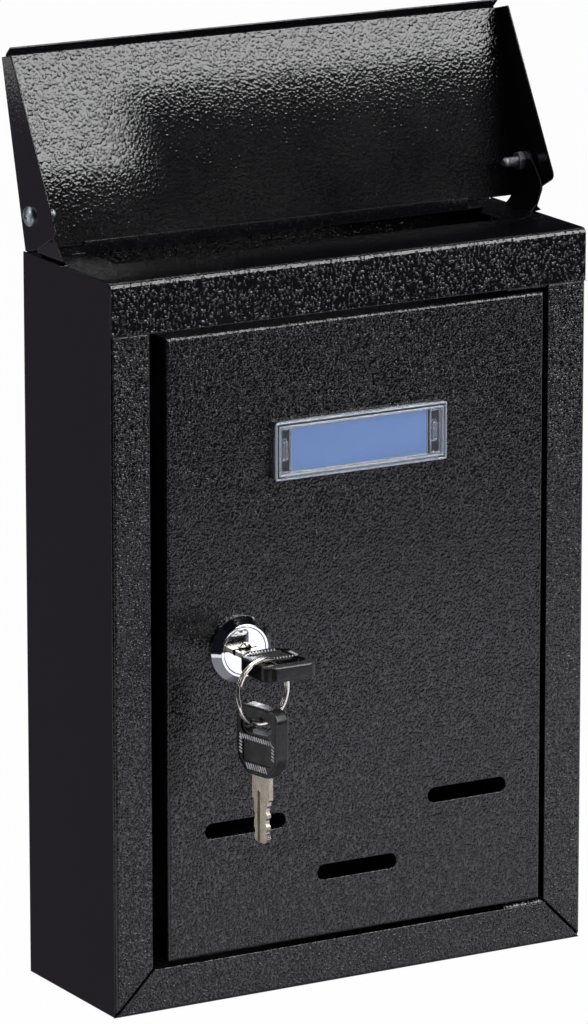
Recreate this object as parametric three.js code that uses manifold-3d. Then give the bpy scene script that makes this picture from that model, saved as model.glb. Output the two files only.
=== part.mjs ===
// Wall mounted mailbox: a folded sheet steel box with a top opening under a
// hinged rain lid, and a front door with a cam lock and its two keys.
//
// Units are millimetres. The origin is the centre of the face that lies on the
// wall. +X points right as seen from the front, +Y into the wall, +Z up.
// The lid stands open, the door is shut, and one key sits in the lock.

import * as THREE from 'three';
import { mergeVertices } from 'three/addons/utils/BufferGeometryUtils.js';
import Module from 'manifold-3d';

const manifold = await Module();
manifold.setup();

// ---------------------------------------------------------------- dimensions

// Box
const bodyWidth = 215; // across the side panels
const bodyDepth = 72; // wall face to front face
const bodyHeight = 295; // underside to top, without the lid
const sheet = 0.8; // steel sheet
const seam = 0.2; // paint gap between two sheets that lie together
const play = 0.3; // clearance round pins, screws and moving pieces
const bend = 1.6; // outside radius of the small bends
const coverBend = 2.4; // outside radius of the cover's front top bend

const stileWidth = 17.5; // front strip at each side of the door
const railHeight = 17.6; // front strip below the door
const bandHeight = 21.4; // front strip above the door, part of the cover
const mitreGap = 1.5; // open corner seam between a stile and the rail
const tabWidth = 12; // welding flanges inside the box
const coverInset = 1.1; // the cover's plate lies this far inside the sides

// Mail slot in the cover
const slotSetback = 32; // front face to the slot's front edge
const slotCorner = 2;
const slotSideMargin = 19.8; // outside of the box to the slot's end
const slotFlare = 5.6; // both ends step outwards by this, at 45 degrees
const slotFlareStart = 16.6; // behind the slot's front edge
const upstandHeight = 4.4; // lip behind the slot, which stops the lid

// Ears that carry the lid
const pivotHeight = 17.5; // lid axis above the top
const pivotToWall = 17; // lid axis in front of the wall face
const earStandoff = 4.4; // the ear's outside face beyond the side panel
const earFootInset = 1; // the ear's lower bend inside the edge of the plate
const earFootRise = 3.1; // height of the ear's 45 degree foot
const earKneeHeight = 12; // the ear is upright above this
const earTopMargin = 4.6; // above the lid axis
const earFrontReach = 17; // front edge before the lid axis
const earFrontRise = 9; // height of the upright front edge
const earNoseReach = 5.6; // top front corner before the lid axis
const earBackClearance = 0.6; // to the inside of the open lid's plate

// Lid
const lidOverhang = 6; // outside of the lid's cheek beyond the side panel
const lidLean = 14; // open lid past the upright, degrees
const lidPlateOffset = 8.04; // lid axis to the plate's outside face
const lidTail = 13.3; // plate below the lid axis
const lidReach = 63.7; // plate above the lid axis
const lipLength = 5.3; // drip lip on the free edge
const lidTopTurn = 62; // bend between the plate and the lip, degrees
const lipEndInset = 2.3; // lip's end inside the cheek's outside face
const cheekNarrow = 8.9; // cheek depth at the free end
const cheekWide = 28.5; // cheek depth at its lower front corner
const cheekCut = 11.6; // straight part of the cheek's lower edge
const cheekNoseDrop = 8.9; // lower front corner below the lid axis
const cheekNoseRadius = 2.5;
const dimpleRadius = 7; // pressed seat round each lid screw
const dimpleDepth = 0.4;
const dimpleSlope = 0.8; // the seat's wall runs in by this

// Lid screws, M4 pan head with a thin nut
const screwRadius = 2;
const screwHeadRadius = 4.1;
const screwHeadHeight = 2.5;
const screwEndLength = 6.6; // thread beyond the nut
const recessWidth = 0.9; // cross recess of a screw
const recessLength = 4.6;
const recessDepth = 1.3;
const lidNutWidth = 7; // across flats
const lidNutHeight = 2.2;

// Door
const doorGapHinge = 2.5;
const doorGapLock = 5.7;
const doorGapTop = 2.2;
const doorGapBottom = 2.2;
const doorProud = 1; // door face in front of the box
const doorFlange = 13; // depth of the door's folded edge
const doorPivotInset = 6; // door's right edge to the hinge axis
const doorPivotDepth = 6; // door's face to the hinge axis
const viewSlotLength = 36.5;
const viewSlotHeight = 6.2;
const viewSlotPitch = 51; // across, from slot to slot
const viewSlotHigh = 51; // outer slots above the door's lower edge
const viewSlotLow = 26.6; // middle slot above the door's lower edge

// Door hinges: a riveted pin in an angle bracket, above and below
const doorPinRadius = 2;
const doorPinHeadRadius = 3.6;
const doorPinHeadHeight = 1.4;
const bracketWidth = 20;
const bracketDepth = 10;
const bracketHeight = 14;
const bracketSheet = 1.2;
const bracketGap = 0.5; // upper bracket above the door's folded edge
const doorPinEnd = 1.2; // pin beyond its bracket
const washerGap = 0.1; // above and below the washer
const washerRadius = 4.2;
const washerHeight = 0.6;

// Door stops
const stopHeight = 18;
const stopReach = 10;
const stopLeg = 9;
const stopOffset = 100; // above and below the lock

// Cam lock
const lockFromEdge = 32.4; // lock axis from the door's left edge
const lockHeight = 123.8; // lock axis above the door's lower edge
const bezelRadius = 13.5;
const bezelRim = 1.2;
const faceRadius = 10.5;
const faceHeight = 4.3; // front of the lock before the door's face
const barrelRadius = 9.5;
const barrelLength = 14.6; // behind the door's face
const plugHeadRadius = 9.35;
const plugHeadHeight = 2.4;
const plugRadius = 7.2;
const plugTail = 2.4; // plug behind the barrel
const dishRadius = 3.4; // round recess over the keyway
const dishDepth = 1;
const lockNutWidth = 24;
const lockNutHeight = 3;
const camThickness = 1.6;
const camWidth = 12;
const camReach = 45;
const camSquare = 7; // seat on the plug's end
const camScrewRadius = 1.6;
const camScrewHeadRadius = 4.4;
const camScrewHeadHeight = 2;
const camScrewLength = 3.4;
const strikeGap = 0.8; // cam behind the left stile's return

// Keys
const keyThickness = 2;
const keyShoulderWidth = 10;
const keyShoulderLength = 10;
const keyBladeWidth = 8;
const keyBladeLength = 17.2;
const keyBitDepth = 1.2;
const keyBitCount = 4;
const keyTangLength = 6;
const bowWidth = 24;
const bowLength = 28;
const bowThickness = 6.4;
const bowCorner = 5;
const bowNeckWidth = 13;
const bowShoulder = 7; // the bow narrows to its neck over this length
const bowSlotLength = 16;
const bowSlotWidth = 5.8;
const bowSlotFromEnd = 8;

// Split ring
const ringRadius = 12.7; // centre line
const ringWire = 1;
const ringTurn = 12; // ring's plane turned about the upright, degrees
const ringSetback = 0.9; // ring's middle before the middle of the bow's slot

// Name plate
const plateWidth = 78.2;
const plateHeight = 23.7;
const plateProud = 3.2;
const plateCorner = 2;
const plateRim = 2.6;
const plateRimRise = 1;
const plateFromTop = 50.1; // centre below the door's upper edge
const cardWidth = 61.6;
const cardHeight = 17.4;
const cardThickness = 0.4;
const legWidth = 2.2;
const legHeight = 8;
const legInset = 5; // from the plate's end to the leg's centre
const legReach = 2.6; // behind the door sheet
const legBarb = 1;

// Back panel
const wallHoleRadius = 3;
const wallHoleAcross = 150;
const wallHoleUp = 230;

// ----------------------------------------------------- lines of the assembly

const halfWidth = bodyWidth / 2;
const front = -bodyDepth;
const top = bodyHeight / 2;
const bottom = -bodyHeight / 2;
const tabFace = halfWidth - sheet - seam; // outer face of a welding flange
const doorwayHalf = halfWidth - stileWidth;
const doorwayTop = top - bandHeight;
const doorwayBottom = bottom + railHeight;

const doorWidth = 2 * doorwayHalf - doorGapHinge - doorGapLock;
const doorHeight = doorwayTop - doorwayBottom - doorGapTop - doorGapBottom;
const doorMiddleX = (doorGapLock - doorGapHinge) / 2;
const doorMiddleZ = (doorwayTop + doorwayBottom + doorGapBottom - doorGapTop) / 2;
const doorFace = front - doorProud;
const doorBack = doorFace + doorFlange;
const doorPinX = doorMiddleX + doorWidth / 2 - doorPivotInset;
const doorPinY = doorFace + doorPivotDepth;

const lockX = lockFromEdge - doorWidth / 2; // from the door's middle
const lockZ = lockHeight - doorHeight / 2;
const plugEnd = barrelLength + plugTail; // behind the door's face
const camFront = plugEnd + seam;
const keywayWidth = keyShoulderWidth + 2 * play;
const keywayHeight = keyThickness + 2 * play;

const pivotY = -pivotToWall;
const pivotZ = top + pivotHeight;
const earFace = halfWidth + earStandoff;
const cheekFace = halfWidth + lidOverhang;

// ------------------------------------------------------------------- helpers

const radians = THREE.MathUtils.degToRad;

/** A closed three.js geometry as a solid that can be cut and joined. */
function solidOf(geometry) {
  const bare = geometry.clone();
  bare.deleteAttribute('normal');
  bare.deleteAttribute('uv');
  const merged = mergeVertices(bare, 1e-4);
  const mesh = new manifold.Mesh({
    numProp: 3,
    vertProperties: new Float32Array(merged.attributes.position.array),
    triVerts: new Uint32Array(merged.index.array),
  });
  return new manifold.Manifold(mesh);
}

/** A solid back as a three.js geometry. */
function geometryOf(solid) {
  const mesh = solid.getMesh();
  const geometry = new THREE.BufferGeometry();
  geometry.setAttribute('position', new THREE.BufferAttribute(mesh.vertProperties, 3));
  geometry.setIndex(new THREE.BufferAttribute(mesh.triVerts, 1));
  geometry.computeVertexNormals();
  return geometry;
}

/** The first solid with the others joined to it. */
function join(first, ...others) {
  return others.reduce((whole, piece) => whole.add(piece), first);
}

/** The first solid with the others cut out of it. */
function cut(first, ...others) {
  return others.reduce((whole, piece) => whole.subtract(piece), first);
}

/** A solid with its mirror image in the plane x = 0. */
function bothSides(solid) {
  return [solid, solid.mirror([1, 0, 0])];
}

const axisX = new THREE.Vector3(1, 0, 0);
const axisY = new THREE.Vector3(0, 1, 0);
const axisZ = new THREE.Vector3(0, 0, 1);

/** An outline drawn on the first two axes of a basis and pushed along the third. */
function prism(outline, length, basis, start) {
  const shape = new THREE.Shape(outline.map(([a, b]) => new THREE.Vector2(a, b)));
  const geometry = new THREE.ExtrudeGeometry(shape, { depth: length, bevelEnabled: false });
  geometry.applyMatrix4(new THREE.Matrix4().makeBasis(...basis));
  geometry.translate(start.x, start.y, start.z);
  return solidOf(geometry);
}

/** Outline in (y, z), from x0 to x1. */
function prismX(outline, x0, x1) {
  return prism(outline, x1 - x0, [axisY, axisZ, axisX], new THREE.Vector3(x0, 0, 0));
}

/** Outline in (x, z), from y0 to y1. */
function prismY(outline, y0, y1) {
  const forwards = axisY.clone().negate();
  return prism(outline, y1 - y0, [axisX, axisZ, forwards], new THREE.Vector3(0, y1, 0));
}

/** Outline in (x, y), from z0 to z1. */
function prismZ(outline, z0, z1) {
  return prism(outline, z1 - z0, [axisX, axisY, axisZ], new THREE.Vector3(0, 0, z0));
}

/** A block between two corners. */
function block([x0, y0, z0], [x1, y1, z1]) {
  const geometry = new THREE.BoxGeometry(x1 - x0, y1 - y0, z1 - z0);
  geometry.translate((x0 + x1) / 2, (y0 + y1) / 2, (z0 + z1) / 2);
  return solidOf(geometry);
}

/**
 * A solid of revolution about an axis through the origin. Its profile is a
 * closed outline in (radius, distance along the axis), anticlockwise.
 */
function turned(profile, axis, steps = 40) {
  const points = [...profile, profile[0]].map(([radius, along]) => new THREE.Vector2(radius, along));
  const geometry = new THREE.LatheGeometry(points, steps);
  geometry.applyQuaternion(new THREE.Quaternion().setFromUnitVectors(axisY, axis));
  return solidOf(geometry);
}

/** Profile of a plain cylinder. */
function cylinder(radius, from, to) {
  return [
    [0, from],
    [radius, from],
    [radius, to],
    [0, to],
  ];
}

/** Points on an arc, angles in degrees. */
function arc(cx, cy, radius, from, to, steps) {
  return Array.from({ length: steps + 1 }, (_, i) => {
    const angle = radians(from + ((to - from) * i) / steps);
    return [cx + radius * Math.cos(angle), cy + radius * Math.sin(angle)];
  });
}

function circle(cx, cy, radius, steps = 24) {
  return arc(cx, cy, radius, 0, 360, steps).slice(0, steps);
}

function hexagon(cx, cy, acrossFlats) {
  return circle(cx, cy, acrossFlats / Math.sqrt(3), 6);
}

function rectangle(x0, x1, y0, y1) {
  return [
    [x0, y0],
    [x1, y0],
    [x1, y1],
    [x0, y1],
  ];
}

/** An outline with its corners rounded. Each point is [x, y] or [x, y, radius]. */
function rounded(points, steps = 4) {
  return points.flatMap(([x, y, radius = 0], i) => {
    if (radius === 0) return [[x, y]];
    const corner = new THREE.Vector2(x, y);
    const [bx, by] = points.at(i - 1);
    const [ax, ay] = points[(i + 1) % points.length];
    const back = new THREE.Vector2(bx, by).sub(corner).normalize();
    const ahead = new THREE.Vector2(ax, ay).sub(corner).normalize();
    const half = Math.acos(THREE.MathUtils.clamp(back.dot(ahead), -1, 1)) / 2;
    const centre = corner
      .clone()
      .addScaledVector(back.clone().add(ahead).normalize(), radius / Math.sin(half));
    const start = corner.clone().addScaledVector(back, radius / Math.tan(half)).sub(centre);
    const turn = Math.sign(ahead.cross(back)) * (Math.PI - 2 * half);
    return Array.from({ length: steps + 1 }, (_, step) => {
      const point = start.clone().rotateAround(new THREE.Vector2(), (turn * step) / steps);
      return [centre.x + point.x, centre.y + point.y];
    });
  });
}

/** A rectangle with its middle at the given place and rounded corners. */
function roundedRectangle(cx, cy, width, height, radius, steps = 4) {
  const [x, y] = [width / 2, height / 2];
  return rounded(
    rectangle(cx - x, cx + x, cy - y, cy + y).map(([px, py]) => [px, py, radius]),
    steps,
  );
}

/** A slot with round ends, its length along the first axis. */
function slotOutline(cx, cy, length, height, steps = 8) {
  const radius = height / 2;
  const run = length / 2 - radius;
  return [
    ...arc(cx + run, cy, radius, -90, 90, steps),
    ...arc(cx - run, cy, radius, 90, 270, steps),
  ];
}

/**
 * The edge-on outline of a bent sheet. The path runs along one face, the
 * sheet's thickness lies to its left, and each corner of the path is a bend
 * with this radius on its outside.
 */
function sheetOutline(path, thickness, radius, steps = 4) {
  const near = [];
  const far = [];
  const leftOf = (direction) => new THREE.Vector2(-direction.y, direction.x);
  path.forEach(([x, y], i) => {
    const here = new THREE.Vector2(x, y);
    const before = i > 0 && here.clone().sub(new THREE.Vector2(...path[i - 1])).normalize();
    const after = i < path.length - 1 && new THREE.Vector2(...path[i + 1]).sub(here).normalize();
    if (!before || !after) {
      const across = leftOf(before || after).multiplyScalar(thickness);
      near.push([x, y]);
      far.push([x + across.x, y + across.y]);
      return;
    }
    const turn = Math.atan2(before.cross(after), before.dot(after));
    const turnsLeft = turn > 0;
    const nearRadius = turnsLeft ? radius : radius - thickness;
    const farRadius = turnsLeft ? radius - thickness : radius;
    const inward = leftOf(before).multiplyScalar(turnsLeft ? 1 : -1);
    const centre = here
      .clone()
      .addScaledVector(before, -nearRadius * Math.tan(Math.abs(turn) / 2))
      .addScaledVector(inward, nearRadius);
    for (let step = 0; step <= steps; step += 1) {
      const spoke = inward.clone().negate();
      spoke.rotateAround(new THREE.Vector2(), (turn * step) / steps);
      near.push([centre.x + spoke.x * nearRadius, centre.y + spoke.y * nearRadius]);
      far.push([centre.x + spoke.x * farRadius, centre.y + spoke.y * farRadius]);
    }
  });
  return [...near, ...far.reverse()];
}

// ----------------------------------------------------------------- materials

const powderCoat = { color: 0x1c1b1e, roughness: 0.3, metalness: 0 };
const zinc = { color: 0xb9bec4, roughness: 0.3, metalness: 1 };
const chrome = { color: 0xdfe2e6, roughness: 0.08, metalness: 1 };
const nickel = { color: 0xb8afa3, roughness: 0.28, metalness: 1 };
const blackPlastic = { color: 0x151517, roughness: 0.35, metalness: 0 };
const clearPlastic = { color: 0xdde3ee, roughness: 0.1, metalness: 0 };
const card = { color: 0x6f86cf, roughness: 0.7, metalness: 0 };

/** Adds a solid to a group as a named mesh with its own material. */
function add(group, name, solid, finish) {
  const mesh = new THREE.Mesh(geometryOf(solid), new THREE.MeshStandardMaterial(finish));
  mesh.name = name;
  group.add(mesh);
  return mesh;
}

/** Adds an empty group at a place inside another. */
function place(group, x, y, z) {
  const inner = new THREE.Group();
  inner.position.set(x, y, z);
  group.add(inner);
  return inner;
}

// ------------------------------------------------------------------- the box

const past = 1; // how far a cutting solid runs past what it cuts

/** Left side panel: wall and front stile, with the lock's strike return if asked for. */
function sidePanel(withStrike) {
  const path = [
    [-halfWidth, 0],
    [-halfWidth, front],
    [-doorwayHalf, front],
  ];
  if (withStrike) path.push([-doorwayHalf, doorFace + camFront - strikeGap]);
  const folded = prismZ(sheetOutline(path, sheet, bend), bottom, top);

  // Behind the cover's band the stile gives way to a tab one sheet further in.
  const tabFront = front + sheet + seam;
  const tabTop = top - coverBend - seam;
  const aboveStile = block([-halfWidth - past, front - past, doorwayTop], [0, 0, top + past]);
  const wallBesideBand = prismX(
    [
      [0, doorwayTop],
      [0, top],
      [front + coverBend + seam, top],
      [front + coverBend + seam, top - sheet - seam],
      [tabFront, tabTop],
      [tabFront, doorwayTop],
    ],
    -halfWidth,
    -halfWidth + sheet,
  );
  const tab = block(
    [-halfWidth + sheet / 2, tabFront, doorwayTop - seam],
    [-halfWidth + stileWidth / 2, tabFront + sheet, tabTop],
  );

  // The stile's lower end is cut at 45 degrees for the mitre with the rail.
  const mitreFoot = bottom + mitreGap - past;
  const mitreHead = bottom + mitreGap + stileWidth + past;
  const mitre = prismY(
    [
      [-halfWidth - past, mitreFoot],
      [-halfWidth - past, bottom - past],
      [-doorwayHalf + past, bottom - past],
      [-doorwayHalf + past, mitreHead],
    ],
    front - past,
    front + bend,
  );
  const strikeFoot = block(
    [-doorwayHalf - 2 * bend, front + sheet, bottom - past],
    [-doorwayHalf + past, 0, mitreHead],
  );
  const railCorner = block(
    [-halfWidth - past, front - past, bottom - past],
    [-doorwayHalf, front + bend + seam, bottom + sheet + seam],
  );
  return join(cut(folded, aboveStile, mitre, strikeFoot, railCorner), wallBesideBand, tab);
}

/** Bottom panel: plate, front rail with mitred ends, and three welding flanges. */
function bottomPanel() {
  const rear = -sheet - seam;
  const folded = prismX(
    sheetOutline(
      [
        [front, doorwayBottom],
        [front, bottom],
        [rear, bottom],
        [rear, bottom + tabWidth],
      ],
      sheet,
      bend,
    ),
    -halfWidth,
    halfWidth,
  );
  const plateTrim = block(
    [tabFace, front + bend, bottom - past],
    [halfWidth + past, past, doorwayBottom + past],
  );
  const mitre = prismY(
    [
      [halfWidth + past, bottom + seam],
      [halfWidth + past, doorwayBottom + past],
      [doorwayHalf, doorwayBottom + past],
      [doorwayHalf, bottom + seam + stileWidth],
      [halfWidth, bottom + seam],
    ],
    front - past,
    front + bend + past,
  );
  const flange = block(
    [tabFace - sheet, front + bend + stileWidth, bottom + sheet / 2],
    [tabFace, rear - bend, bottom + tabWidth],
  );
  return join(cut(folded, ...bothSides(plateTrim), ...bothSides(mitre)), ...bothSides(flange));
}

/** Back panel: the wall face, folded forward along both sides, with four wall holes. */
function backPanel() {
  const folded = prismZ(
    sheetOutline(
      [
        [tabFace, -tabWidth],
        [tabFace, 0],
        [-tabFace, 0],
        [-tabFace, -tabWidth],
      ],
      sheet,
      bend,
    ),
    bottom,
    top,
  );
  // The flanges stop short of those of the bottom panel and the cover.
  const cornerCuts = [
    [bottom - past, bottom + tabWidth + play],
    [top - tabWidth - play, top + past],
  ].flatMap(([low, high]) =>
    bothSides(
      block([tabFace - 2 * bend, -tabWidth - past, low], [tabFace + past, -sheet, high]),
    ),
  );
  const holes = [-wallHoleUp / 2, wallHoleUp / 2].flatMap((z) =>
    bothSides(prismY(circle(wallHoleAcross / 2, z, wallHoleRadius), -sheet - past, past)),
  );
  return cut(folded, ...cornerCuts, ...holes);
}

/** Where an ear's rear edge lies at a height: in front of the open lid and parallel to it. */
function earBack(height) {
  const lean = radians(lidLean);
  const reach = lidPlateOffset - sheet - earBackClearance;
  const level = height - pivotZ + reach * Math.sin(lean);
  return pivotY + reach * Math.cos(lean) + level * Math.tan(lean);
}

const earFront = pivotY - earFrontReach;
const earFoot = halfWidth - coverInset - earFootInset;
const earHeel = top + 2 * sheet; // the rear edge is upright below this

/** The left ear of the cover: foot, slope and upright cheek with the screw hole. */
function lidEar() {
  const plateUnder = top - sheet;
  const strip = prismY(
    sheetOutline(
      [
        [-earFace, pivotZ + earTopMargin + past],
        [-earFace, top + earKneeHeight],
        [-earFoot - earFootRise, plateUnder + earFootRise],
        [-earFoot, plateUnder],
        [-earFoot + 2 * bend, plateUnder],
      ],
      sheet,
      bend,
      3,
    ),
    earFront - past,
    0,
  );
  const outline = rounded([
    [earFront, plateUnder],
    [earBack(earHeel), plateUnder],
    [earBack(earHeel), earHeel],
    [earBack(pivotZ), pivotZ, earTopMargin / 2],
    [pivotY + earTopMargin / 2, pivotZ + earTopMargin, earTopMargin / 2],
    [pivotY - earNoseReach, pivotZ + earTopMargin, earTopMargin / 2],
    [earFront, top + earFrontRise, earTopMargin / 2],
  ]);
  const hole = prismX(circle(pivotY, pivotZ, screwRadius + play), -cheekFace, -halfWidth);
  return cut(strip.intersect(prismX(outline, -cheekFace, 0)), hole);
}

/** Top cover: front band, top plate with the mail slot, rear flange, upstand and ears. */
function topCover() {
  const rear = -sheet - seam;
  const folded = prismX(
    sheetOutline(
      [
        [rear, top - tabWidth],
        [rear, top],
        [front, top],
        [front, doorwayTop],
      ],
      sheet,
      coverBend,
      6,
    ),
    -halfWidth,
    halfWidth,
  );
  const plateTrim = block(
    [halfWidth - coverInset, front + coverBend, top - tabWidth - past],
    [halfWidth + past, past, top + past],
  );
  const earNotch = block(
    [earFoot, earFront - seam, top - sheet - past],
    [halfWidth, earBack(earHeel) + seam, top + past],
  );

  // The upstand behind the slot stops the open lid at the lower edge of its plate.
  const lean = radians(lidLean);
  const lidTailY =
    pivotY - lidTail * Math.sin(lean) + (lidPlateOffset - sheet) * Math.cos(lean);
  const upstandBack = lidTailY - play;
  const slotFront = front + slotSetback;
  const slotBack = upstandBack - sheet;
  const slotHalf = halfWidth - slotSideMargin;
  const flareFront = slotFront + slotFlareStart;
  const flareBack = flareFront + slotFlare;
  const slot = prismZ(
    rounded([
      [-slotHalf, slotFront, slotCorner],
      [slotHalf, slotFront, slotCorner],
      [slotHalf, flareFront],
      [slotHalf + slotFlare, flareBack],
      [slotHalf + slotFlare, slotBack],
      [-slotHalf - slotFlare, slotBack],
      [-slotHalf - slotFlare, flareBack],
      [-slotHalf, flareFront],
    ]),
    top - 2 * sheet,
    top + past,
  );
  const upstand = block(
    [-slotHalf, slotBack, top - sheet],
    [slotHalf, upstandBack, top + upstandHeight],
  );
  const plate = cut(folded, ...bothSides(plateTrim), ...bothSides(earNotch), slot);
  return join(plate, upstand, ...bothSides(lidEar()));
}

/** Angle that the door's folded edge closes against, welded to the strike return. */
function doorStop() {
  const face = doorBack + play;
  return prismZ(
    sheetOutline(
      [
        [-doorwayHalf + stopReach, face + sheet],
        [-doorwayHalf, face + sheet],
        [-doorwayHalf, face + sheet - stopLeg],
      ],
      sheet,
      bend,
    ),
    -stopHeight / 2,
    stopHeight / 2,
  );
}

const mailbox = new THREE.Group();

add(mailbox, 'side_panel_left', sidePanel(true), powderCoat);
add(mailbox, 'side_panel_right', sidePanel(false).mirror([1, 0, 0]), powderCoat);
add(mailbox, 'bottom_panel', bottomPanel(), powderCoat);
add(mailbox, 'back_panel', backPanel(), powderCoat);
add(mailbox, 'top_cover', topCover(), powderCoat);
for (const [end, side] of [['upper', 1], ['lower', -1]]) {
  const stop = add(mailbox, `door_stop_${end}`, doorStop(), powderCoat);
  stop.position.z = doorMiddleZ + lockZ + side * stopOffset;
}

// -------------------------------------------------------------- door hinges

/** Upper hinge bracket. The pin's axis is local Z, and the leaf's lower face is at 0. */
function hingeBracket() {
  const legFront = front + sheet - doorPinY;
  const folded = prismX(
    sheetOutline(
      [
        [legFront, bracketHeight],
        [legFront, 0],
        [legFront + bracketDepth, 0],
      ],
      bracketSheet,
      bracketSheet + bend / 2,
    ),
    -bracketWidth / 2,
    bracketWidth / 2,
  );
  return cut(folded, prismZ(circle(0, 0, doorPinRadius + play), -past, bracketSheet + past));
}

/** Upper hinge pin, with its head inside the door. The door's outer edge is at 0. */
function hingePin(gapToBracket) {
  const headTop = -sheet;
  return turned(
    [
      [0, headTop - doorPinHeadHeight],
      [doorPinHeadRadius, headTop - doorPinHeadHeight],
      [doorPinHeadRadius, headTop],
      [doorPinRadius, headTop],
      [doorPinRadius, gapToBracket + bracketSheet + doorPinEnd],
      [0, gapToBracket + bracketSheet + doorPinEnd],
    ],
    axisZ,
    24,
  );
}

const lowerGap = washerHeight + 2 * washerGap;
const hinges = [
  { end: 'upper', gap: bracketGap, side: 1 },
  { end: 'lower', gap: lowerGap, side: -1 },
];
const upward = (solid, side) => (side > 0 ? solid : solid.mirror([0, 0, 1]));
for (const { end, gap, side } of hinges) {
  const leaf = doorMiddleZ + side * (doorHeight / 2 + gap);
  const corner = place(mailbox, doorPinX, doorPinY, leaf);
  add(corner, `door_hinge_bracket_${end}`, upward(hingeBracket(), side), powderCoat);
}
const washer = turned(
  [
    [doorPinRadius + play, washerGap],
    [washerRadius, washerGap],
    [washerRadius, washerGap + washerHeight],
    [doorPinRadius + play, washerGap + washerHeight],
  ],
  axisZ,
  24,
);
const lowerLeaf = doorMiddleZ - doorHeight / 2 - lowerGap;
add(place(mailbox, doorPinX, doorPinY, lowerLeaf), 'door_washer_lower', washer, zinc);

// --------------------------------------------------------------------- door

/** Door pan about the middle of its face, with its slots and the holes of what it carries. */
function doorPan() {
  const shell = (inset) => {
    const [x, z, y] = [doorWidth / 2 - inset, doorHeight / 2 - inset, doorFlange + inset * past];
    const radius = bend - inset;
    const across = prismZ(
      rounded([[-x, inset, radius], [x, inset, radius], [x, y], [-x, y]]), -z, z,
    );
    const upright = prismX(
      rounded([[inset, -z, radius], [y, -z], [y, z], [inset, z, radius]]), -x, x,
    );
    return across.intersect(upright);
  };
  const slotPlaces = [
    [-viewSlotPitch, viewSlotHigh],
    [0, viewSlotLow],
    [viewSlotPitch, viewSlotHigh],
  ];
  const slots = slotPlaces.map(([x, up]) =>
    prismY(slotOutline(x, up - doorHeight / 2, viewSlotLength, viewSlotHeight), -past, sheet + past),
  );
  const lockHole = prismY(circle(lockX, lockZ, barrelRadius + play, 40), -past, sheet + past);
  const legX = plateWidth / 2 - legInset;
  const legZ = doorHeight / 2 - plateFromTop;
  const [halfLeg, halfLegHeight] = [legWidth / 2 + play, legHeight / 2 + play];
  const legHole = block(
    [legX - halfLeg, -past, legZ - halfLegHeight],
    [legX + halfLeg, sheet + past, legZ + halfLegHeight],
  );
  const pinX = doorWidth / 2 - doorPivotInset;
  const pinHole = prismZ(
    circle(pinX, doorPivotDepth, doorPinRadius + washerGap), -doorHeight, doorHeight,
  );
  return cut(shell(0), shell(sheet), ...slots, lockHole, ...bothSides(legHole), pinHole);
}

const door = place(mailbox, doorMiddleX, doorFace, doorMiddleZ);
add(door, 'door_pan', doorPan(), powderCoat);
for (const { end, gap, side } of hinges) {
  const edge = place(
    door, doorWidth / 2 - doorPivotInset, doorPivotDepth, (side * doorHeight) / 2,
  );
  add(edge, `door_pin_${end}`, upward(hingePin(gap), side), zinc);
}

// --------------------------------------------------------------- name plate

/** Clear holder with a raised rim, a pocket behind its window and two barbed legs. */
function nameplateHolder() {
  const plate = prismY(
    roundedRectangle(0, 0, plateWidth, plateHeight, plateCorner), -plateProud, 0,
  );
  const dish = prismY(
    roundedRectangle(0, 0, plateWidth - 2 * plateRim, plateHeight - 2 * plateRim, plateCorner / 2),
    -plateProud - past,
    -plateProud + plateRimRise,
  );
  const pocket = block(
    [-cardWidth / 2 - play, -cardThickness - 2 * seam, -cardHeight / 2 - play],
    [cardWidth / 2 + play, past, cardHeight / 2 + play],
  );
  const legX = plateWidth / 2 - legInset;
  const leg = block(
    [legX - legWidth / 2, -plateRimRise, -legHeight / 2],
    [legX + legWidth / 2, sheet + legReach, legHeight / 2],
  );
  const barb = prismZ(
    [
      [legX, sheet + seam],
      [legX + legWidth / 2 + legBarb, sheet + seam],
      [legX + legWidth / 2, sheet + legReach],
      [legX, sheet + legReach],
    ],
    -legHeight / 2,
    legHeight / 2,
  );
  return join(cut(plate, dish, pocket), ...bothSides(leg), ...bothSides(barb));
}

const nameplate = place(door, 0, 0, doorHeight / 2 - plateFromTop);
add(nameplate, 'nameplate_holder', nameplateHolder(), clearPlastic);
const nameCard = block(
  [-cardWidth / 2, -cardThickness - seam, -cardHeight / 2],
  [cardWidth / 2, -seam, cardHeight / 2],
);
add(nameplate, 'name_card', nameCard, card);

// ----------------------------------------------------------------- cam lock

/** Lock body: bezel, barrel and the bore that the plug turns in. */
function lockBody() {
  const groove = plugHeadRadius + play / 2;
  const grooveEnd = -faceHeight + plugHeadHeight + play / 2;
  const bore = plugRadius + play / 2;
  return turned(
    [
      [bore, grooveEnd],
      [groove, grooveEnd],
      [groove, -faceHeight],
      [faceRadius, -faceHeight],
      [bezelRadius, -bezelRim],
      [bezelRadius, 0],
      [barrelRadius, 0],
      [barrelRadius, barrelLength],
      [bore, barrelLength],
    ],
    axisY,
    48,
  );
}

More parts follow.
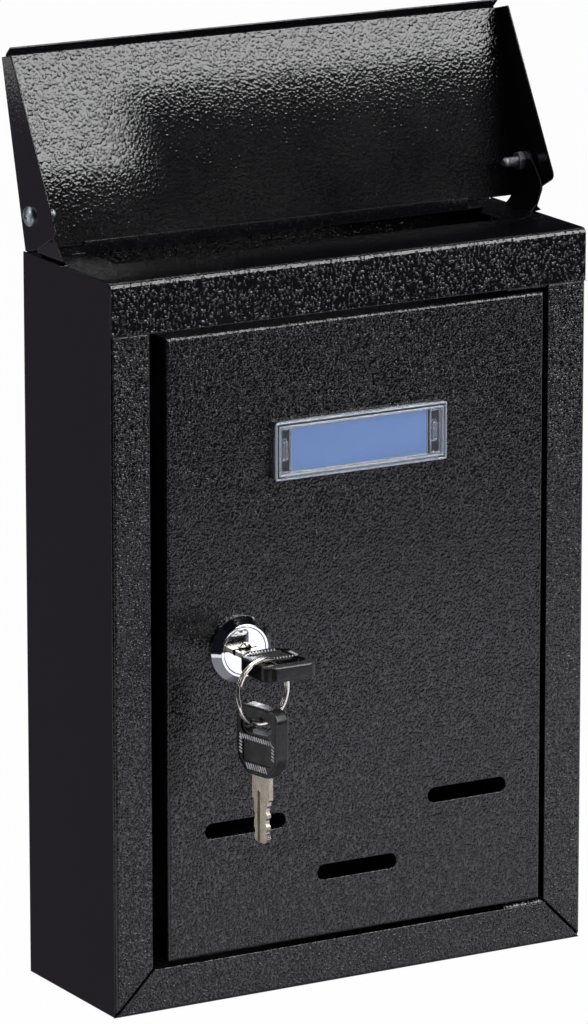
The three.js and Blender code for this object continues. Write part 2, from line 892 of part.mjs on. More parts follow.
/** Plug: the face with the keyway, the shaft, and the square seat of the cam. */
function lockPlug() {
  const round = turned(
    [
      [0, -faceHeight],
      [plugHeadRadius, -faceHeight],
      [plugHeadRadius, -faceHeight + plugHeadHeight],
      [plugRadius, -faceHeight + plugHeadHeight],
      [plugRadius, plugEnd],
      [0, plugEnd],
    ],
    axisY,
    48,
  );
  const halfSquare = camSquare / 2;
  const seat = block(
    [-halfSquare, plugEnd - past, -halfSquare],
    [halfSquare, camFront + camThickness - seam, halfSquare],
  );
  const keyway = block(
    [-keywayWidth / 2, -faceHeight - past, -keywayHeight / 2],
    [keywayWidth / 2, -faceHeight + keyBladeLength + 2 * play, keywayHeight / 2],
  );
  const dish = turned(cylinder(dishRadius, -faceHeight - past, -faceHeight + dishDepth), axisY, 32);
  const thread = turned(
    cylinder(camScrewRadius + seam, camFront + camThickness - camScrewLength - seam, plugEnd * 2),
    axisY,
    24,
  );
  return cut(join(round, seat), keyway, dish, thread);
}

/** Cam: a rounded bar with the square hole that seats on the plug. */
function lockCam() {
  const half = camWidth / 2;
  const bar = rounded([
    [-half, -half, half],
    [half, -half, half],
    [half, camReach, half / 2],
    [-half, camReach, half / 2],
  ]);
  const hole = camSquare / 2 + seam;
  return cut(
    prismY(bar, camFront, camFront + camThickness),
    block([-hole, camFront - past, -hole], [hole, camFront + camThickness + past, hole]),
  );
}

/** Pan head screw whose shank starts at 0 and runs along +Y, with a cross recess. */
function panScrew(radius, length, headRadius, headHeight) {
  const dome = headHeight / 2;
  const screw = turned(
    [
      [0, -headHeight],
      [headRadius - dome, -headHeight],
      [headRadius - dome / 3, -headHeight + dome / 3],
      [headRadius, -headHeight + dome],
      [headRadius, 0],
      [radius, 0],
      [radius, length],
      [0, length],
    ],
    axisY,
    32,
  );
  const [long, narrow] = [recessLength / 2, recessWidth / 2];
  const bottomOfRecess = -headHeight + recessDepth;
  const across = block([-long, -headHeight - past, -narrow], [long, bottomOfRecess, narrow]);
  const upright = block([-narrow, -headHeight - past, -long], [narrow, bottomOfRecess, long]);
  return cut(screw, across, upright);
}

const lock = place(door, lockX, 0, lockZ);
add(lock, 'lock_body', lockBody(), chrome);
const lockNut = cut(
  prismY(hexagon(0, 0, lockNutWidth), sheet, sheet + lockNutHeight),
  prismY(circle(0, 0, barrelRadius + play, 40), 0, sheet + lockNutHeight + past),
);
add(lock, 'lock_nut', lockNut, zinc);
add(lock, 'lock_plug', lockPlug(), chrome);
add(lock, 'lock_cam', lockCam(), zinc);
const camScrew = panScrew(camScrewRadius, camScrewLength, camScrewHeadRadius, camScrewHeadHeight);
const camScrewGroup = place(lock, 0, camFront + camThickness, 0);
camScrewGroup.rotation.z = Math.PI;
add(camScrewGroup, 'cam_screw', camScrew, zinc);

// --------------------------------------------------------- keys and key ring
// A key's width is local X, its blade points along +Y, and its shoulder ends at 0.

const bowNeck = -keyShoulderLength;
const bowEnd = bowNeck - bowLength;
const bowSlotY = bowEnd + bowSlotFromEnd;

/** Key blade: cut part with its bits on one edge, shoulder, and the tang inside the bow. */
function keyBlade() {
  const [blade, shoulder] = [keyBladeWidth / 2, keyShoulderWidth / 2];
  const tip = keyBladeLength - blade / 2;
  const bitPitch = tip / (keyBitCount + 1);
  const bits = Array.from({ length: keyBitCount }, (_, i) => {
    const y = (i + 1) * bitPitch;
    const depth = keyBitDepth * (i % 2 ? 1 : 0.6);
    return [
      [blade, y - bitPitch / 2.5],
      [blade - depth, y],
      [blade, y + bitPitch / 2.5],
    ];
  }).flat();
  const outline = [
    [-blade, bowNeck - keyTangLength],
    [blade, bowNeck - keyTangLength],
    [blade, bowNeck],
    [shoulder, bowNeck],
    [shoulder, 0],
    [blade, 0],
    ...bits,
    [blade, tip],
    [blade / 4, keyBladeLength],
    [-blade / 4, keyBladeLength],
    [-blade, tip],
    [-blade, 0],
    [-shoulder, 0],
    [-shoulder, bowNeck],
    [-blade, bowNeck],
  ];
  return prismZ(outline, -keyThickness / 2, keyThickness / 2);
}

/** Plastic key bow with its ring slot and the socket of the blade's tang. */
function keyBow() {
  const [wide, neck] = [bowWidth / 2, bowNeckWidth / 2];
  const outline = rounded(
    [
      [-wide, bowEnd, bowCorner],
      [wide, bowEnd, bowCorner],
      [wide, bowNeck - bowShoulder, bowCorner],
      [neck, bowNeck - play, neck / 4],
      [-neck, bowNeck - play, neck / 4],
      [-wide, bowNeck - bowShoulder, bowCorner],
    ],
    6,
  );
  const half = bowThickness / 2;
  const slot = slotOutline(0, bowSlotY, bowSlotLength, bowSlotWidth);
  const socket = block(
    [-keyBladeWidth / 2 - play, bowNeck - keyTangLength - play, -keyThickness / 2 - play],
    [keyBladeWidth / 2 + play, bowNeck + past, keyThickness / 2 + play],
  );
  return cut(prismZ(outline, -half, half), prismZ(slot, -half - past, half + past), socket);
}

// The ring hangs from the bow's left bar, as low as the bar may turn inside it.
const barMiddle = -(bowWidth + bowSlotLength) / 4;
const barWidth = (bowWidth - bowSlotLength) / 2;
const ringInside = ringRadius - ringWire;
const ringDrop = ringInside - Math.hypot(barWidth / 2, bowThickness / 2) - play;

// The spare key hangs in the bottom of the ring, which curves up past its bow.
const ringRise = ringInside - Math.sqrt(ringInside ** 2 - (bowThickness / 2) ** 2);
const spareSlotDrop = bowSlotWidth / 2 - ringWire - play - ringRise;

const key = place(lock, 0, -faceHeight - play, 0);
add(key, 'key_blade', keyBlade(), nickel);
add(key, 'key_bow', keyBow(), blackPlastic);

const ring = place(key, barMiddle, bowSlotY - ringSetback, 0);
ring.rotation.z = radians(ringTurn);
const hoop = turned(circle(ringRadius, 0, ringWire, 8), axisY, 48);
add(ring, 'key_ring', hoop, nickel).position.z = -ringDrop;

const spare = place(ring, 0, 0, -ringDrop - ringRadius);
spare.rotation.set(-Math.PI / 2, 0, -Math.PI / 2, 'ZYX');
add(spare, 'spare_key_blade', keyBlade(), nickel).position.y = spareSlotDrop - bowSlotY;
add(spare, 'spare_key_bow', keyBow(), blackPlastic).position.y = spareSlotDrop - bowSlotY;

// ---------------------------------------------------------------------- lid
// The lid's group has its origin on the screws' axis, local Z up along the open
// plate and local -Y towards the front.

/** Lid: plate, drip lip and two cheeks with pressed seats and screw holes. */
function lidShell() {
  const back = lidPlateOffset;
  const lipBend = bend * Math.tan(radians(lidTopTurn / 2));
  const lipAngle = radians(lidTopTurn);
  const channel = prismZ(
    sheetOutline(
      [
        [cheekFace, back - cheekWide],
        [cheekFace, back],
        [-cheekFace, back],
        [-cheekFace, back - cheekWide],
      ],
      sheet,
      bend,
    ),
    -lidTail,
    lidReach,
  );
  const cheek = prismX(
    rounded([
      [back, -lidTail],
      [back, lidReach - lipBend],
      [back - cheekNarrow, lidReach - lipBend],
      [back - cheekWide, -cheekNoseDrop, cheekNoseRadius],
      [back - cheekCut, -lidTail, cheekNoseRadius],
    ]),
    -cheekFace,
    cheekFace,
  );
  const plate = prismX(
    sheetOutline(
      [
        [back, -lidTail],
        [back, lidReach],
        [back - lipLength * Math.sin(lipAngle), lidReach + lipLength * Math.cos(lipAngle)],
      ],
      sheet,
      bend,
    ),
    -cheekFace + lipEndInset,
    cheekFace - lipEndInset,
  );
  const seat = (x) =>
    turned(
      [
        [0, x],
        [dimpleRadius - dimpleSlope, x],
        [dimpleRadius, x + dimpleDepth],
        [0, x + dimpleDepth],
      ],
      axisX,
      32,
    );
  const bulge = seat(cheekFace - sheet - dimpleDepth);
  const dent = seat(cheekFace - dimpleDepth);
  const hole = prismX(circle(0, 0, screwRadius + play), -cheekFace - past, cheekFace + past);
  const shell = join(channel.intersect(cheek), plate, ...bothSides(bulge));
  return cut(shell, ...bothSides(dent), hole);
}

const lid = place(mailbox, 0, pivotY, pivotZ);
lid.rotation.x = -radians(lidLean);
add(lid, 'lid_shell', lidShell(), powderCoat);

/** Lid screw on the left: its head seats in the lid's cheek, its nut inside the ear. */
const seatFace = cheekFace - dimpleDepth;
const nutSeat = earFace - sheet;
const lidScrewLength = seatFace - nutSeat + lidNutHeight + screwEndLength;
const lidScrew = panScrew(screwRadius, lidScrewLength, screwHeadRadius, screwHeadHeight);
const lidNut = cut(
  prismY(hexagon(0, 0, lidNutWidth), 0, lidNutHeight),
  prismY(circle(0, 0, screwRadius + seam), -past, lidNutHeight + past),
);
for (const [name, side] of [['left', -1], ['right', 1]]) {
  const screw = place(mailbox, side * seatFace, pivotY, pivotZ);
  screw.rotation.z = (side * Math.PI) / 2;
  add(screw, `lid_screw_${name}`, lidScrew, zinc);
  const nut = place(mailbox, side * nutSeat, pivotY, pivotZ);
  nut.rotation.z = (side * Math.PI) / 2;
  add(nut, `lid_nut_${name}`, lidNut, zinc);
}

export default mailbox;
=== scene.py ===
"""Looks of the wall mounted mailbox: coated sheet steel, lock, keys, name plate and studio.

Everything is in metres in the frame's own axes: X to the right, Y into the wall, Z up. Each
sub-assembly is a class that holds its sizes, builds its meshes and dresses them in a finish.
"""

from __future__ import annotations

import logging
import math
from dataclasses import dataclass, field
from enum import Enum
from typing import Any, Iterable, Protocol, Sequence

import bmesh
import bpy
from mathutils import Matrix, Vector

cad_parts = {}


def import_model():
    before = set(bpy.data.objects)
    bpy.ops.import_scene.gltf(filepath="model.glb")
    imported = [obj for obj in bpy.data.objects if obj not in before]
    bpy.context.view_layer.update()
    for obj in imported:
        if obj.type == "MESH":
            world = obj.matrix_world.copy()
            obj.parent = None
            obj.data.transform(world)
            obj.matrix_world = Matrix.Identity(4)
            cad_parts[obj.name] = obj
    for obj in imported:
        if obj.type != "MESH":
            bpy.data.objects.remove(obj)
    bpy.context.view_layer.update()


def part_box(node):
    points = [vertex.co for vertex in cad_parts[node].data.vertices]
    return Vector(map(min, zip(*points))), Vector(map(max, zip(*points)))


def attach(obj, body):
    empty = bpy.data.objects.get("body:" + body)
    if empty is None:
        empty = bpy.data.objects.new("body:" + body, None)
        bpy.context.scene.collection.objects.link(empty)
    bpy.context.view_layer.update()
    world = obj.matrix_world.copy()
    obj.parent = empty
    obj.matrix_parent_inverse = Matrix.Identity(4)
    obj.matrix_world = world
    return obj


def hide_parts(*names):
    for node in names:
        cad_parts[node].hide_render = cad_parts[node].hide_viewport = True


Corner = tuple[float, float, float]  # x, y and radius of one corner of an outline

LOG = logging.getLogger("mailbox")

MM = 0.001
WEAR_AND_LIGHT = "edge_wear_and_painted_light"  # face attribute: 1 on the rounding of an edge, where a coat is thin and worn; on the clear plastic it paints a milky glow, and on the key bows' hatching a light grey highlight
CALM = "calm_coat"  # face attribute: 1 where the coat has flowed out smoother, as on the broad sides
FLAT_JOIN = math.radians(1.0)
SHARP = math.radians(30.0)
SMOOTH_UP_TO = math.radians(46.0)
SMOOTH_PLATED = math.radians(35.0)
RING_TURN = math.radians(12.0)  # how far ring and spare key are turned about the upright
WELD = 0.002 * MM  # points closer than this are one
MIX_A, MIX_B, MIXED = 6, 7, 2  # a colour mix's sockets by number, as its names stand for several
ROUND_END = 0.98  # radius of a round end against half its width, so that its two corners stay apart
NOISE_RANGE = {"From Min": 0.3, "From Max": 0.7}  # where nearly all of a noise texture's values lie


# ------------------------------------------------------------------ colours and nodes


def linear(hex_code: str) -> tuple[float, float, float, float]:
    """Turns an sRGB hex colour to linear light.

    Args:
        hex_code: The colour as "#rrggbb".

    Returns:
        Red, green, blue and an alpha of 1.
    """
    parts = [int(hex_code[i : i + 2], 16) / 255.0 for i in (1, 3, 5)]
    low = [p / 12.92 if p <= 0.04045 else ((p + 0.055) / 1.055) ** 2.4 for p in parts]
    return (low[0], low[1], low[2], 1.0)


def add_node(
    tree: bpy.types.NodeTree,
    kind: str,
    settings: dict[Any, Any] | None = None,
    links: dict[Any, bpy.types.NodeSocket] | None = None,
) -> bpy.types.Node:
    """Adds one node to a tree.

    Args:
        tree: The node tree.
        kind: The node's type name.
        settings: Values by property name, or by the name or number of an input socket.
        links: Output sockets by the name or number of the input that they feed.

    Returns:
        The new node.
    """
    node = tree.nodes.new(kind)
    for name, value in (settings or {}).items():
        if isinstance(name, str) and hasattr(node, name):
            setattr(node, name, value)
        else:
            node.inputs[name].default_value = value
    for name, socket in (links or {}).items():
        tree.links.new(socket, node.inputs[name])
    return node


def new_material(name: str) -> tuple[bpy.types.Material, bpy.types.NodeTree]:
    """Makes an empty node material.

    Args:
        name: The material's name.

    Returns:
        The material and its node tree.
    """
    material = bpy.data.materials.new(name)
    material.use_nodes = True
    material.node_tree.nodes.clear()
    return material, material.node_tree


def close_tree(
    tree: bpy.types.NodeTree,
    bump: dict[str, float],
    height: dict[str, bpy.types.NodeSocket],
    surface: dict[str, float],
    links: dict[str, bpy.types.NodeSocket],
) -> None:
    """Ends a finish's tree with its bump, its shader and its output.

    Args:
        tree: The node tree.
        bump: Settings of the bump.
        height: What feeds the bump.
        surface: Settings of the shader.
        links: What feeds the shader, apart from the bump.
    """
    raised = add_node(tree, "ShaderNodeBump", bump, height)
    shader = add_node(
        tree, "ShaderNodeBsdfPrincipled", surface, {**links, "Normal": raised.outputs["Normal"]}
    )
    add_node(tree, "ShaderNodeOutputMaterial", {}, {"Surface": shader.outputs["BSDF"]})


class Finish(Protocol):
    """Anything that can make a material."""

    def make(self) -> bpy.types.Material:
        """Makes the material."""


# ------------------------------------------------------------------ finishes


class Relief(Enum):
    """How the powder coat's leather-like relief has flowed out on one kind of sheet.

    Each value holds the spacing and the height of the bumps in millimetres, the share of
    their height below which the coat lies flat, and how much taller than wide they are.
    """

    DOOR = (0.85, 0.28, 0.0, 1.4)
    BODY = (1.05, 0.35, 0.05, 1.0)
    COVER = (1.4, 0.56, 0.22, 1.0)
    LID = (1.35, 0.24, 0.0, 1.0)

    @property
    def cell(self) -> float:
        """Spacing of the relief's bumps, in metres."""
        return self.value[0] * MM

    @property
    def depth(self) -> float:
        """Height of the relief, in metres."""
        return self.value[1] * MM

    @property
    def flat_share(self) -> float:
        """Share of the bumps' height below which the coat lies flat."""
        return self.value[2]

    @property
    def upright(self) -> float:
        """How much taller than wide the bumps are."""
        return self.value[3]


@dataclass(frozen=True)
class PowderCoat:
    """Polyester powder coat, sprayed and baked: deep gloss black with a leather-like relief.

    The eye sees rounded black bumps whose flanks pick out the lights, and a slightly greyer
    line where the coat has drawn thin over an edge.
    """

    relief: Relief
    colour: str = "#08080a"
    cloud_colour: str = "#0d0c0f"
    thin_colour: str = "#232327"
    roughness: float = 0.07
    roughness_spread: float = 0.05
    ior: float = 1.5
    cloud_size: float = 35 * MM
    bump_rate: float = 1.25  # bumps to a cell
    bump_twist: float = 0.4
    cell_blend: float = 0.5  # how far neighbouring cells run together
    cell_pull: float = -0.7  # how far the coat draws down between the cells
    settle_blend: float = 0.1  # softness of the step from a bump to the flat
    thin_rate: float = 0.45  # patches of thin coat to a cell, along the edges
    peel_size: float = 0.35 * MM  # finest orange peel, drawn as coarse as it can show
    peel_share: float = 0.05
    calm_share: float = 0.2

    def make(self) -> bpy.types.Material:
        """Makes the coat's material.

        Returns:
            The material.
        """
        material, tree = new_material(f"black_powder_coat_{self.relief.name.lower()}")
        place = add_node(tree, "ShaderNodeTexCoord").outputs["Object"]
        drawn = add_node(
            tree,
            "ShaderNodeMapping",
            {"Scale": (1.0, 1.0, 1 / self.relief.upright)},
            {"Vector": place},
        ).outputs["Vector"]
        patches = add_node(
            tree,
            "ShaderNodeTexNoise",
            {"Scale": self.thin_rate / self.relief.cell, "Detail": 1.0},
            {"Vector": place},
        )
        bumps = add_node(
            tree,
            "ShaderNodeTexNoise",
            {
                "Scale": self.bump_rate / self.relief.cell,
                "Detail": 1.0,
                "Roughness": 0.35,
                "Distortion": self.bump_twist,
            },
            {"Vector": drawn},
        )
        cells = add_node(
            tree,
            "ShaderNodeTexVoronoi",
            {"feature": "SMOOTH_F1", "Scale": 1.0 / self.relief.cell, "Smoothness": self.cell_blend},
            {"Vector": drawn},
        )
        hills = add_node(
            tree,
            "ShaderNodeMath",
            {"operation": "MULTIPLY_ADD", 1: self.cell_pull},
            {0: cells.outputs["Distance"], 2: bumps.outputs["Fac"]},
        )
        settled = add_node(
            tree,
            "ShaderNodeMath",
            {"operation": "SMOOTH_MAX", 1: self.relief.flat_share, 2: self.settle_blend},
            {0: hills.outputs[0]},
        )
        peel = add_node(
            tree,
            "ShaderNodeTexNoise",
            {"Scale": 1 / self.peel_size, "Detail": 0.0},
            {"Vector": place},
        )
        height = add_node(
            tree,
            "ShaderNodeMath",
            {"operation": "MULTIPLY_ADD", 1: self.peel_share},
            {0: peel.outputs["Fac"], 2: settled.outputs[0]},
        )
        calm = add_node(tree, "ShaderNodeAttribute", {"attribute_name": CALM})
        flow = add_node(
            tree,
            "ShaderNodeMapRange",
            {"To Min": 1.0, "To Max": self.calm_share},
            {"Value": calm.outputs["Fac"]},
        )
        cloud = add_node(
            tree,
            "ShaderNodeTexNoise",
            {"Scale": 1 / self.cloud_size, "Detail": 3.0},
            {"Vector": place},
        )
        tone = add_node(
            tree,
            "ShaderNodeMix",
            {"data_type": "RGBA", MIX_A: linear(self.colour), MIX_B: linear(self.cloud_colour)},
            {0: cloud.outputs["Fac"]},
        )
        wear_and_light = add_node(tree, "ShaderNodeAttribute", {"attribute_name": WEAR_AND_LIGHT})
        rubbed = add_node(
            tree,
            "ShaderNodeMath",
            {"operation": "MULTIPLY"},
            {0: wear_and_light.outputs["Fac"], 1: patches.outputs["Fac"]},
        )
        colour = add_node(
            tree,
            "ShaderNodeMix",
            {"data_type": "RGBA", MIX_B: linear(self.thin_colour)},
            {0: rubbed.outputs[0], MIX_A: tone.outputs[MIXED]},
        )
        sheen = add_node(
            tree,
            "ShaderNodeMapRange",
            {
                **NOISE_RANGE,
                "To Min": self.roughness,
                "To Max": self.roughness + self.roughness_spread,
            },
            {"Value": cloud.outputs["Fac"]},
        )
        close_tree(
            tree,
            {"Distance": self.relief.depth},
            {"Height": height.outputs[0], "Strength": flow.outputs["Result"]},
            {"IOR": self.ior},
            {"Base Color": colour.outputs[MIXED], "Roughness": sheen.outputs["Result"]},
        )
        return material


@dataclass(frozen=True)
class PlatedMetal:
    """Electroplated metal: a bright skin over the part, a little cloudy and lightly handled.

    The grain is drawn along one axis, as the last polishing or rolling leaves it. Real polish
    lines are finer than a tenth of a millimetre, so they are drawn coarser, to show at all.
    """

    name: str
    colour: str
    cloud_colour: str
    roughness: float
    roughness_spread: float
    cloud_size: float
    grain_size: float
    grain_depth: float
    grain_stretch: tuple[float, float, float] = (1.0, 1.0, 1.0)

    def make(self) -> bpy.types.Material:
        """Makes the plating's material.

        Returns:
            The material.
        """
        material, tree = new_material(self.name)
        place = add_node(tree, "ShaderNodeTexCoord").outputs["Object"]
        along = add_node(tree, "ShaderNodeMapping", {"Scale": self.grain_stretch}, {"Vector": place})
        grain = add_node(
            tree,
            "ShaderNodeTexNoise",
            {"Scale": 1 / self.grain_size, "Detail": 2.0, "Roughness": 0.6},
            {"Vector": along.outputs["Vector"]},
        )
        cloud = add_node(
            tree,
            "ShaderNodeTexNoise",
            {"Scale": 1 / self.cloud_size, "Detail": 3.0},
            {"Vector": place},
        )
        tone = add_node(
            tree,
            "ShaderNodeMix",
            {"data_type": "RGBA", MIX_A: linear(self.colour), MIX_B: linear(self.cloud_colour)},
            {0: cloud.outputs["Fac"]},
        )
        sheen = add_node(
            tree,
            "ShaderNodeMapRange",
            {
                **NOISE_RANGE,
                "To Min": self.roughness,
                "To Max": self.roughness + self.roughness_spread,
            },
            {"Value": grain.outputs["Fac"]},
        )
        close_tree(
            tree,
            {"Strength": 1.0, "Distance": self.grain_depth},
            {"Height": grain.outputs["Fac"]},
            {"Metallic": 1.0},
            {"Base Color": tone.outputs[MIXED], "Roughness": sheen.outputs["Result"]},
        )
        return material


BRIGHT_CHROME = PlatedMetal(
    # polished bright chrome on die cast zinc: a mirror with a cold tint and faint waviness
    name="bright_chrome_plate",
    colour="#e4e6e9",
    cloud_colour="#d9dce2",
    roughness=0.04,
    roughness_spread=0.05,
    cloud_size=6 * MM,
    grain_size=2.5 * MM,
    grain_depth=0.01 * MM,
)
BLUE_ZINC = PlatedMetal(
    # zinc plated steel with a clear blue passivation: pale grey that drifts to blue
    name="blue_zinc_plate",
    colour="#cfd4da",
    cloud_colour="#b4c0d0",
    roughness=0.33,
    roughness_spread=0.15,
    cloud_size=2.5 * MM,
    grain_size=0.6 * MM,
    grain_depth=0.01 * MM,
)
ROLLED_NICKEL = PlatedMetal(
    # nickel plated brass: a warm grey with rolling lines down the key
    name="rolled_nickel_plate",
    colour="#b9b2a6",
    cloud_colour="#938b7e",
    roughness=0.16,
    roughness_spread=0.16,
    cloud_size=3.5 * MM,
    grain_size=0.45 * MM,
    grain_depth=0.012 * MM,
    grain_stretch=(1.0, 1.0, 0.12),
)
BLACK_ZINC = PlatedMetal(
    # zinc plated steel with a black passivation: a dull charcoal skin; on the door's pins and washer it
    # is also painted shade, keeping them dark in the shaded gap
    name="black_zinc_plate",
    colour="#26272a",
    cloud_colour="#1b1c1f",
    roughness=0.4,
    roughness_spread=0.15,
    cloud_size=3 * MM,
    grain_size=0.6 * MM,
    grain_depth=0.01 * MM,
)
BRIGHT_NICKEL = PlatedMetal(
    # barrelled and nickel plated spring wire: bright, slightly warm, with a faint haze
    name="bright_nickel_plate",
    colour="#dedad2",
    cloud_colour="#c6c1b8",
    roughness=0.12,
    roughness_spread=0.08,
    cloud_size=5 * MM,
    grain_size=1.5 * MM,
    grain_depth=0.002 * MM,
)


@dataclass(frozen=True)
class MouldedAbs:
    """Injection moulded ABS: black with a soft gloss, fine spark texture, a few rub marks, and a
    painted light grey highlight on faces marked in full, such as the hatching.
    """

    colour: str = "#070708"
    rub_and_highlight_colour: str = "#c9c9cf"
    roughness: float = 0.2
    roughness_spread: float = 0.16
    ior: float = 1.46
    spark_size: float = 0.3 * MM
    spark_depth: float = 0.012 * MM
    rub_size: float = 5 * MM
    rub_range: tuple[float, float] = (0.25, 0.55)  # noise between the least rub and highlight and the full one
    least_rub_and_highlight: float = 0.35
    sheen_range: tuple[float, float] = (0.35, 0.65)

    def make(self) -> bpy.types.Material:
        """Makes the plastic's material.

        Returns:
            The material.
        """
        material, tree = new_material("moulded_black_abs")
        place = add_node(tree, "ShaderNodeTexCoord").outputs["Object"]
        spark = add_node(
            tree,
            "ShaderNodeTexNoise",
            {"Scale": 1 / self.spark_size, "Detail": 2.0},
            {"Vector": place},
        )
        rub = add_node(
            tree,
            "ShaderNodeTexNoise",
            {"Scale": 1 / self.rub_size, "Detail": 4.0, "Roughness": 0.6},
            {"Vector": place},
        )
        wear_and_light = add_node(tree, "ShaderNodeAttribute", {"attribute_name": WEAR_AND_LIGHT})
        patchy = add_node(
            tree,
            "ShaderNodeMapRange",
            {
                "From Min": self.rub_range[0],
                "From Max": self.rub_range[1],
                "To Min": self.least_rub_and_highlight,
                "To Max": 1.0,
            },
            {"Value": rub.outputs["Fac"]},
        )
        # painted highlight: faces marked in full, as the hatch bars, turn light grey; the bow's
        # slanting faces take only a faint rub
        rub_and_highlight = add_node(
            tree,
            "ShaderNodeMath",
            {"operation": "MULTIPLY"},
            {0: wear_and_light.outputs["Fac"], 1: patchy.outputs["Result"]},
        )
        colour = add_node(
            tree,
            "ShaderNodeMix",
            {"data_type": "RGBA", MIX_A: linear(self.colour), MIX_B: linear(self.rub_and_highlight_colour)},
            {0: rub_and_highlight.outputs[0]},
        )
        sheen = add_node(
            tree,
            "ShaderNodeMapRange",
            {
                "From Min": self.sheen_range[0],
                "From Max": self.sheen_range[1],
                "To Min": self.roughness,
                "To Max": self.roughness + self.roughness_spread,
            },
            {"Value": rub.outputs["Fac"]},
        )
        close_tree(
            tree,
            {"Strength": 1.0, "Distance": self.spark_depth},
            {"Height": spark.outputs["Fac"]},
            {"IOR": self.ior},
            {"Base Color": colour.outputs[MIXED], "Roughness": sheen.outputs["Result"]},
        )
        return material


@dataclass(frozen=True)
class ClearStyrene:
    """Injection moulded clear polystyrene: a clear window, and a rim that gathers the light.

    A real rim looks bright because it pipes light in from all sides; here that light is painted by
    scattering a pale share, a small one over the whole holder and a larger, milky one on the rim's
    roundings, beads and ribs.
    """

    colour: str = "#e9effa"
    # pale colour of the painted glow on the rim's roundings, beads and ribs
    painted_glow_colour: str = "#dbe4f4"
    roughness: float = 0.04
    roughness_spread: float = 0.1
    ior: float = 1.59
    flow_size: float = 7 * MM
    flow_depth: float = 0.025 * MM
    clarity: float = 0.95
    rim_clarity: float = 0.74

    def make(self) -> bpy.types.Material:
        """Makes the plastic's material.

        Returns:
            The material.
        """
        material, tree = new_material("moulded_clear_styrene")
        place = add_node(tree, "ShaderNodeTexCoord").outputs["Object"]
        flow = add_node(
            tree,
            "ShaderNodeTexNoise",
            {"Scale": 1 / self.flow_size, "Detail": 1.0},
            {"Vector": place},
        )
        wear_and_light = add_node(tree, "ShaderNodeAttribute", {"attribute_name": WEAR_AND_LIGHT})
        colour = add_node(
            tree,
            "ShaderNodeMix",
            {"data_type": "RGBA", MIX_A: linear(self.colour), MIX_B: linear(self.painted_glow_colour)},
            {0: wear_and_light.outputs["Fac"]},
        )
        sheen = add_node(
            tree,
            "ShaderNodeMapRange",
            {"To Min": self.roughness, "To Max": self.roughness + self.roughness_spread},
            {"Value": wear_and_light.outputs["Fac"]},
        )
        # painted light: the marked faces let less light through and scatter a pale share, so the rim,
        # beads and ribs glow milky
        clear = add_node(
            tree,
            "ShaderNodeMapRange",
            {"To Min": self.clarity, "To Max": self.rim_clarity},
            {"Value": wear_and_light.outputs["Fac"]},
        )
        close_tree(
            tree,
            {"Strength": 1.0, "Distance": self.flow_depth},
            {"Height": flow.outputs["Fac"]},
            {"IOR": self.ior},
            {
                "Transmission Weight": clear.outputs["Result"],
                "Base Color": colour.outputs[MIXED],
                "Roughness": sheen.outputs["Result"],
            },
        )
        return material


@dataclass(frozen=True)
class CardStock:
    """Coated card dyed periwinkle blue, left blank: matt, with faint fibres and mottling."""

    colour: str = "#5386c6"
    mottled_colour: str = "#6495d0"
    fibre_colour: str = "#4d7cb7"
    roughness: float = 0.55
    roughness_spread: float = 0.15
    ior: float = 1.48
    mottle_size: float = 9 * MM
    fibre_size: float = 0.4 * MM
    fibre_depth: float = 0.01 * MM
    fibre_stretch: float = 0.25  # fibres lie along X, four times as long as thick
    fibre_range: tuple[float, float] = (0.5, 0.8)  # noise between no fibre and the strongest
    fibre_share: float = 0.5

    def make(self) -> bpy.types.Material:
        """Makes the card's material.

        Returns:
            The material.
        """
        material, tree = new_material("blue_card_stock")
        place = add_node(tree, "ShaderNodeTexCoord").outputs["Object"]
        along = add_node(
            tree, "ShaderNodeMapping", {"Scale": (self.fibre_stretch, 1.0, 1.0)}, {"Vector": place}
        )
        fibre = add_node(
            tree,
            "ShaderNodeTexNoise",
            {"Scale": 1 / self.fibre_size, "Detail": 3.0},
            {"Vector": along.outputs["Vector"]},
        )
        mottle = add_node(
            tree,
            "ShaderNodeTexNoise",
            {"Scale": 1 / self.mottle_size, "Detail": 2.0},
            {"Vector": place},
        )
        tone = add_node(
            tree,
            "ShaderNodeMix",
            {"data_type": "RGBA", MIX_A: linear(self.colour), MIX_B: linear(self.mottled_colour)},
            {0: mottle.outputs["Fac"]},
        )
        speck = add_node(
            tree,
            "ShaderNodeMapRange",
            {
                "From Min": self.fibre_range[0],
                "From Max": self.fibre_range[1],
                "To Min": 0.0,
                "To Max": self.fibre_share,
            },
            {"Value": fibre.outputs["Fac"]},
        )
        colour = add_node(
            tree,
            "ShaderNodeMix",
            {"data_type": "RGBA", MIX_B: linear(self.fibre_colour)},
            {0: speck.outputs["Result"], MIX_A: tone.outputs[MIXED]},
        )
        sheen = add_node(
            tree,
            "ShaderNodeMapRange",
            {"To Min": self.roughness, "To Max": self.roughness + self.roughness_spread},
            {"Value": fibre.outputs["Fac"]},
        )
        close_tree(
            tree,
            {"Strength": 1.0, "Distance": self.fibre_depth},
            {"Height": fibre.outputs["Fac"]},
            {"IOR": self.ior},
            {"Base Color": colour.outputs[MIXED], "Roughness": sheen.outputs["Result"]},
        )
        return material


@dataclass
class PaintShop:
    """Hands out each finish's material, and makes it only once."""

    made: dict[Finish, bpy.types.Material] = field(default_factory=dict)

    def material(self, finish: Finish) -> bpy.types.Material:
        """Gives a finish's material.

        Args:
            finish: The finish.

        Returns:
            Its material, made on the first call.
        """
        if finish not in self.made:
            self.made[finish] = finish.make()
        return self.made[finish]


# ------------------------------------------------------------------ mesh work


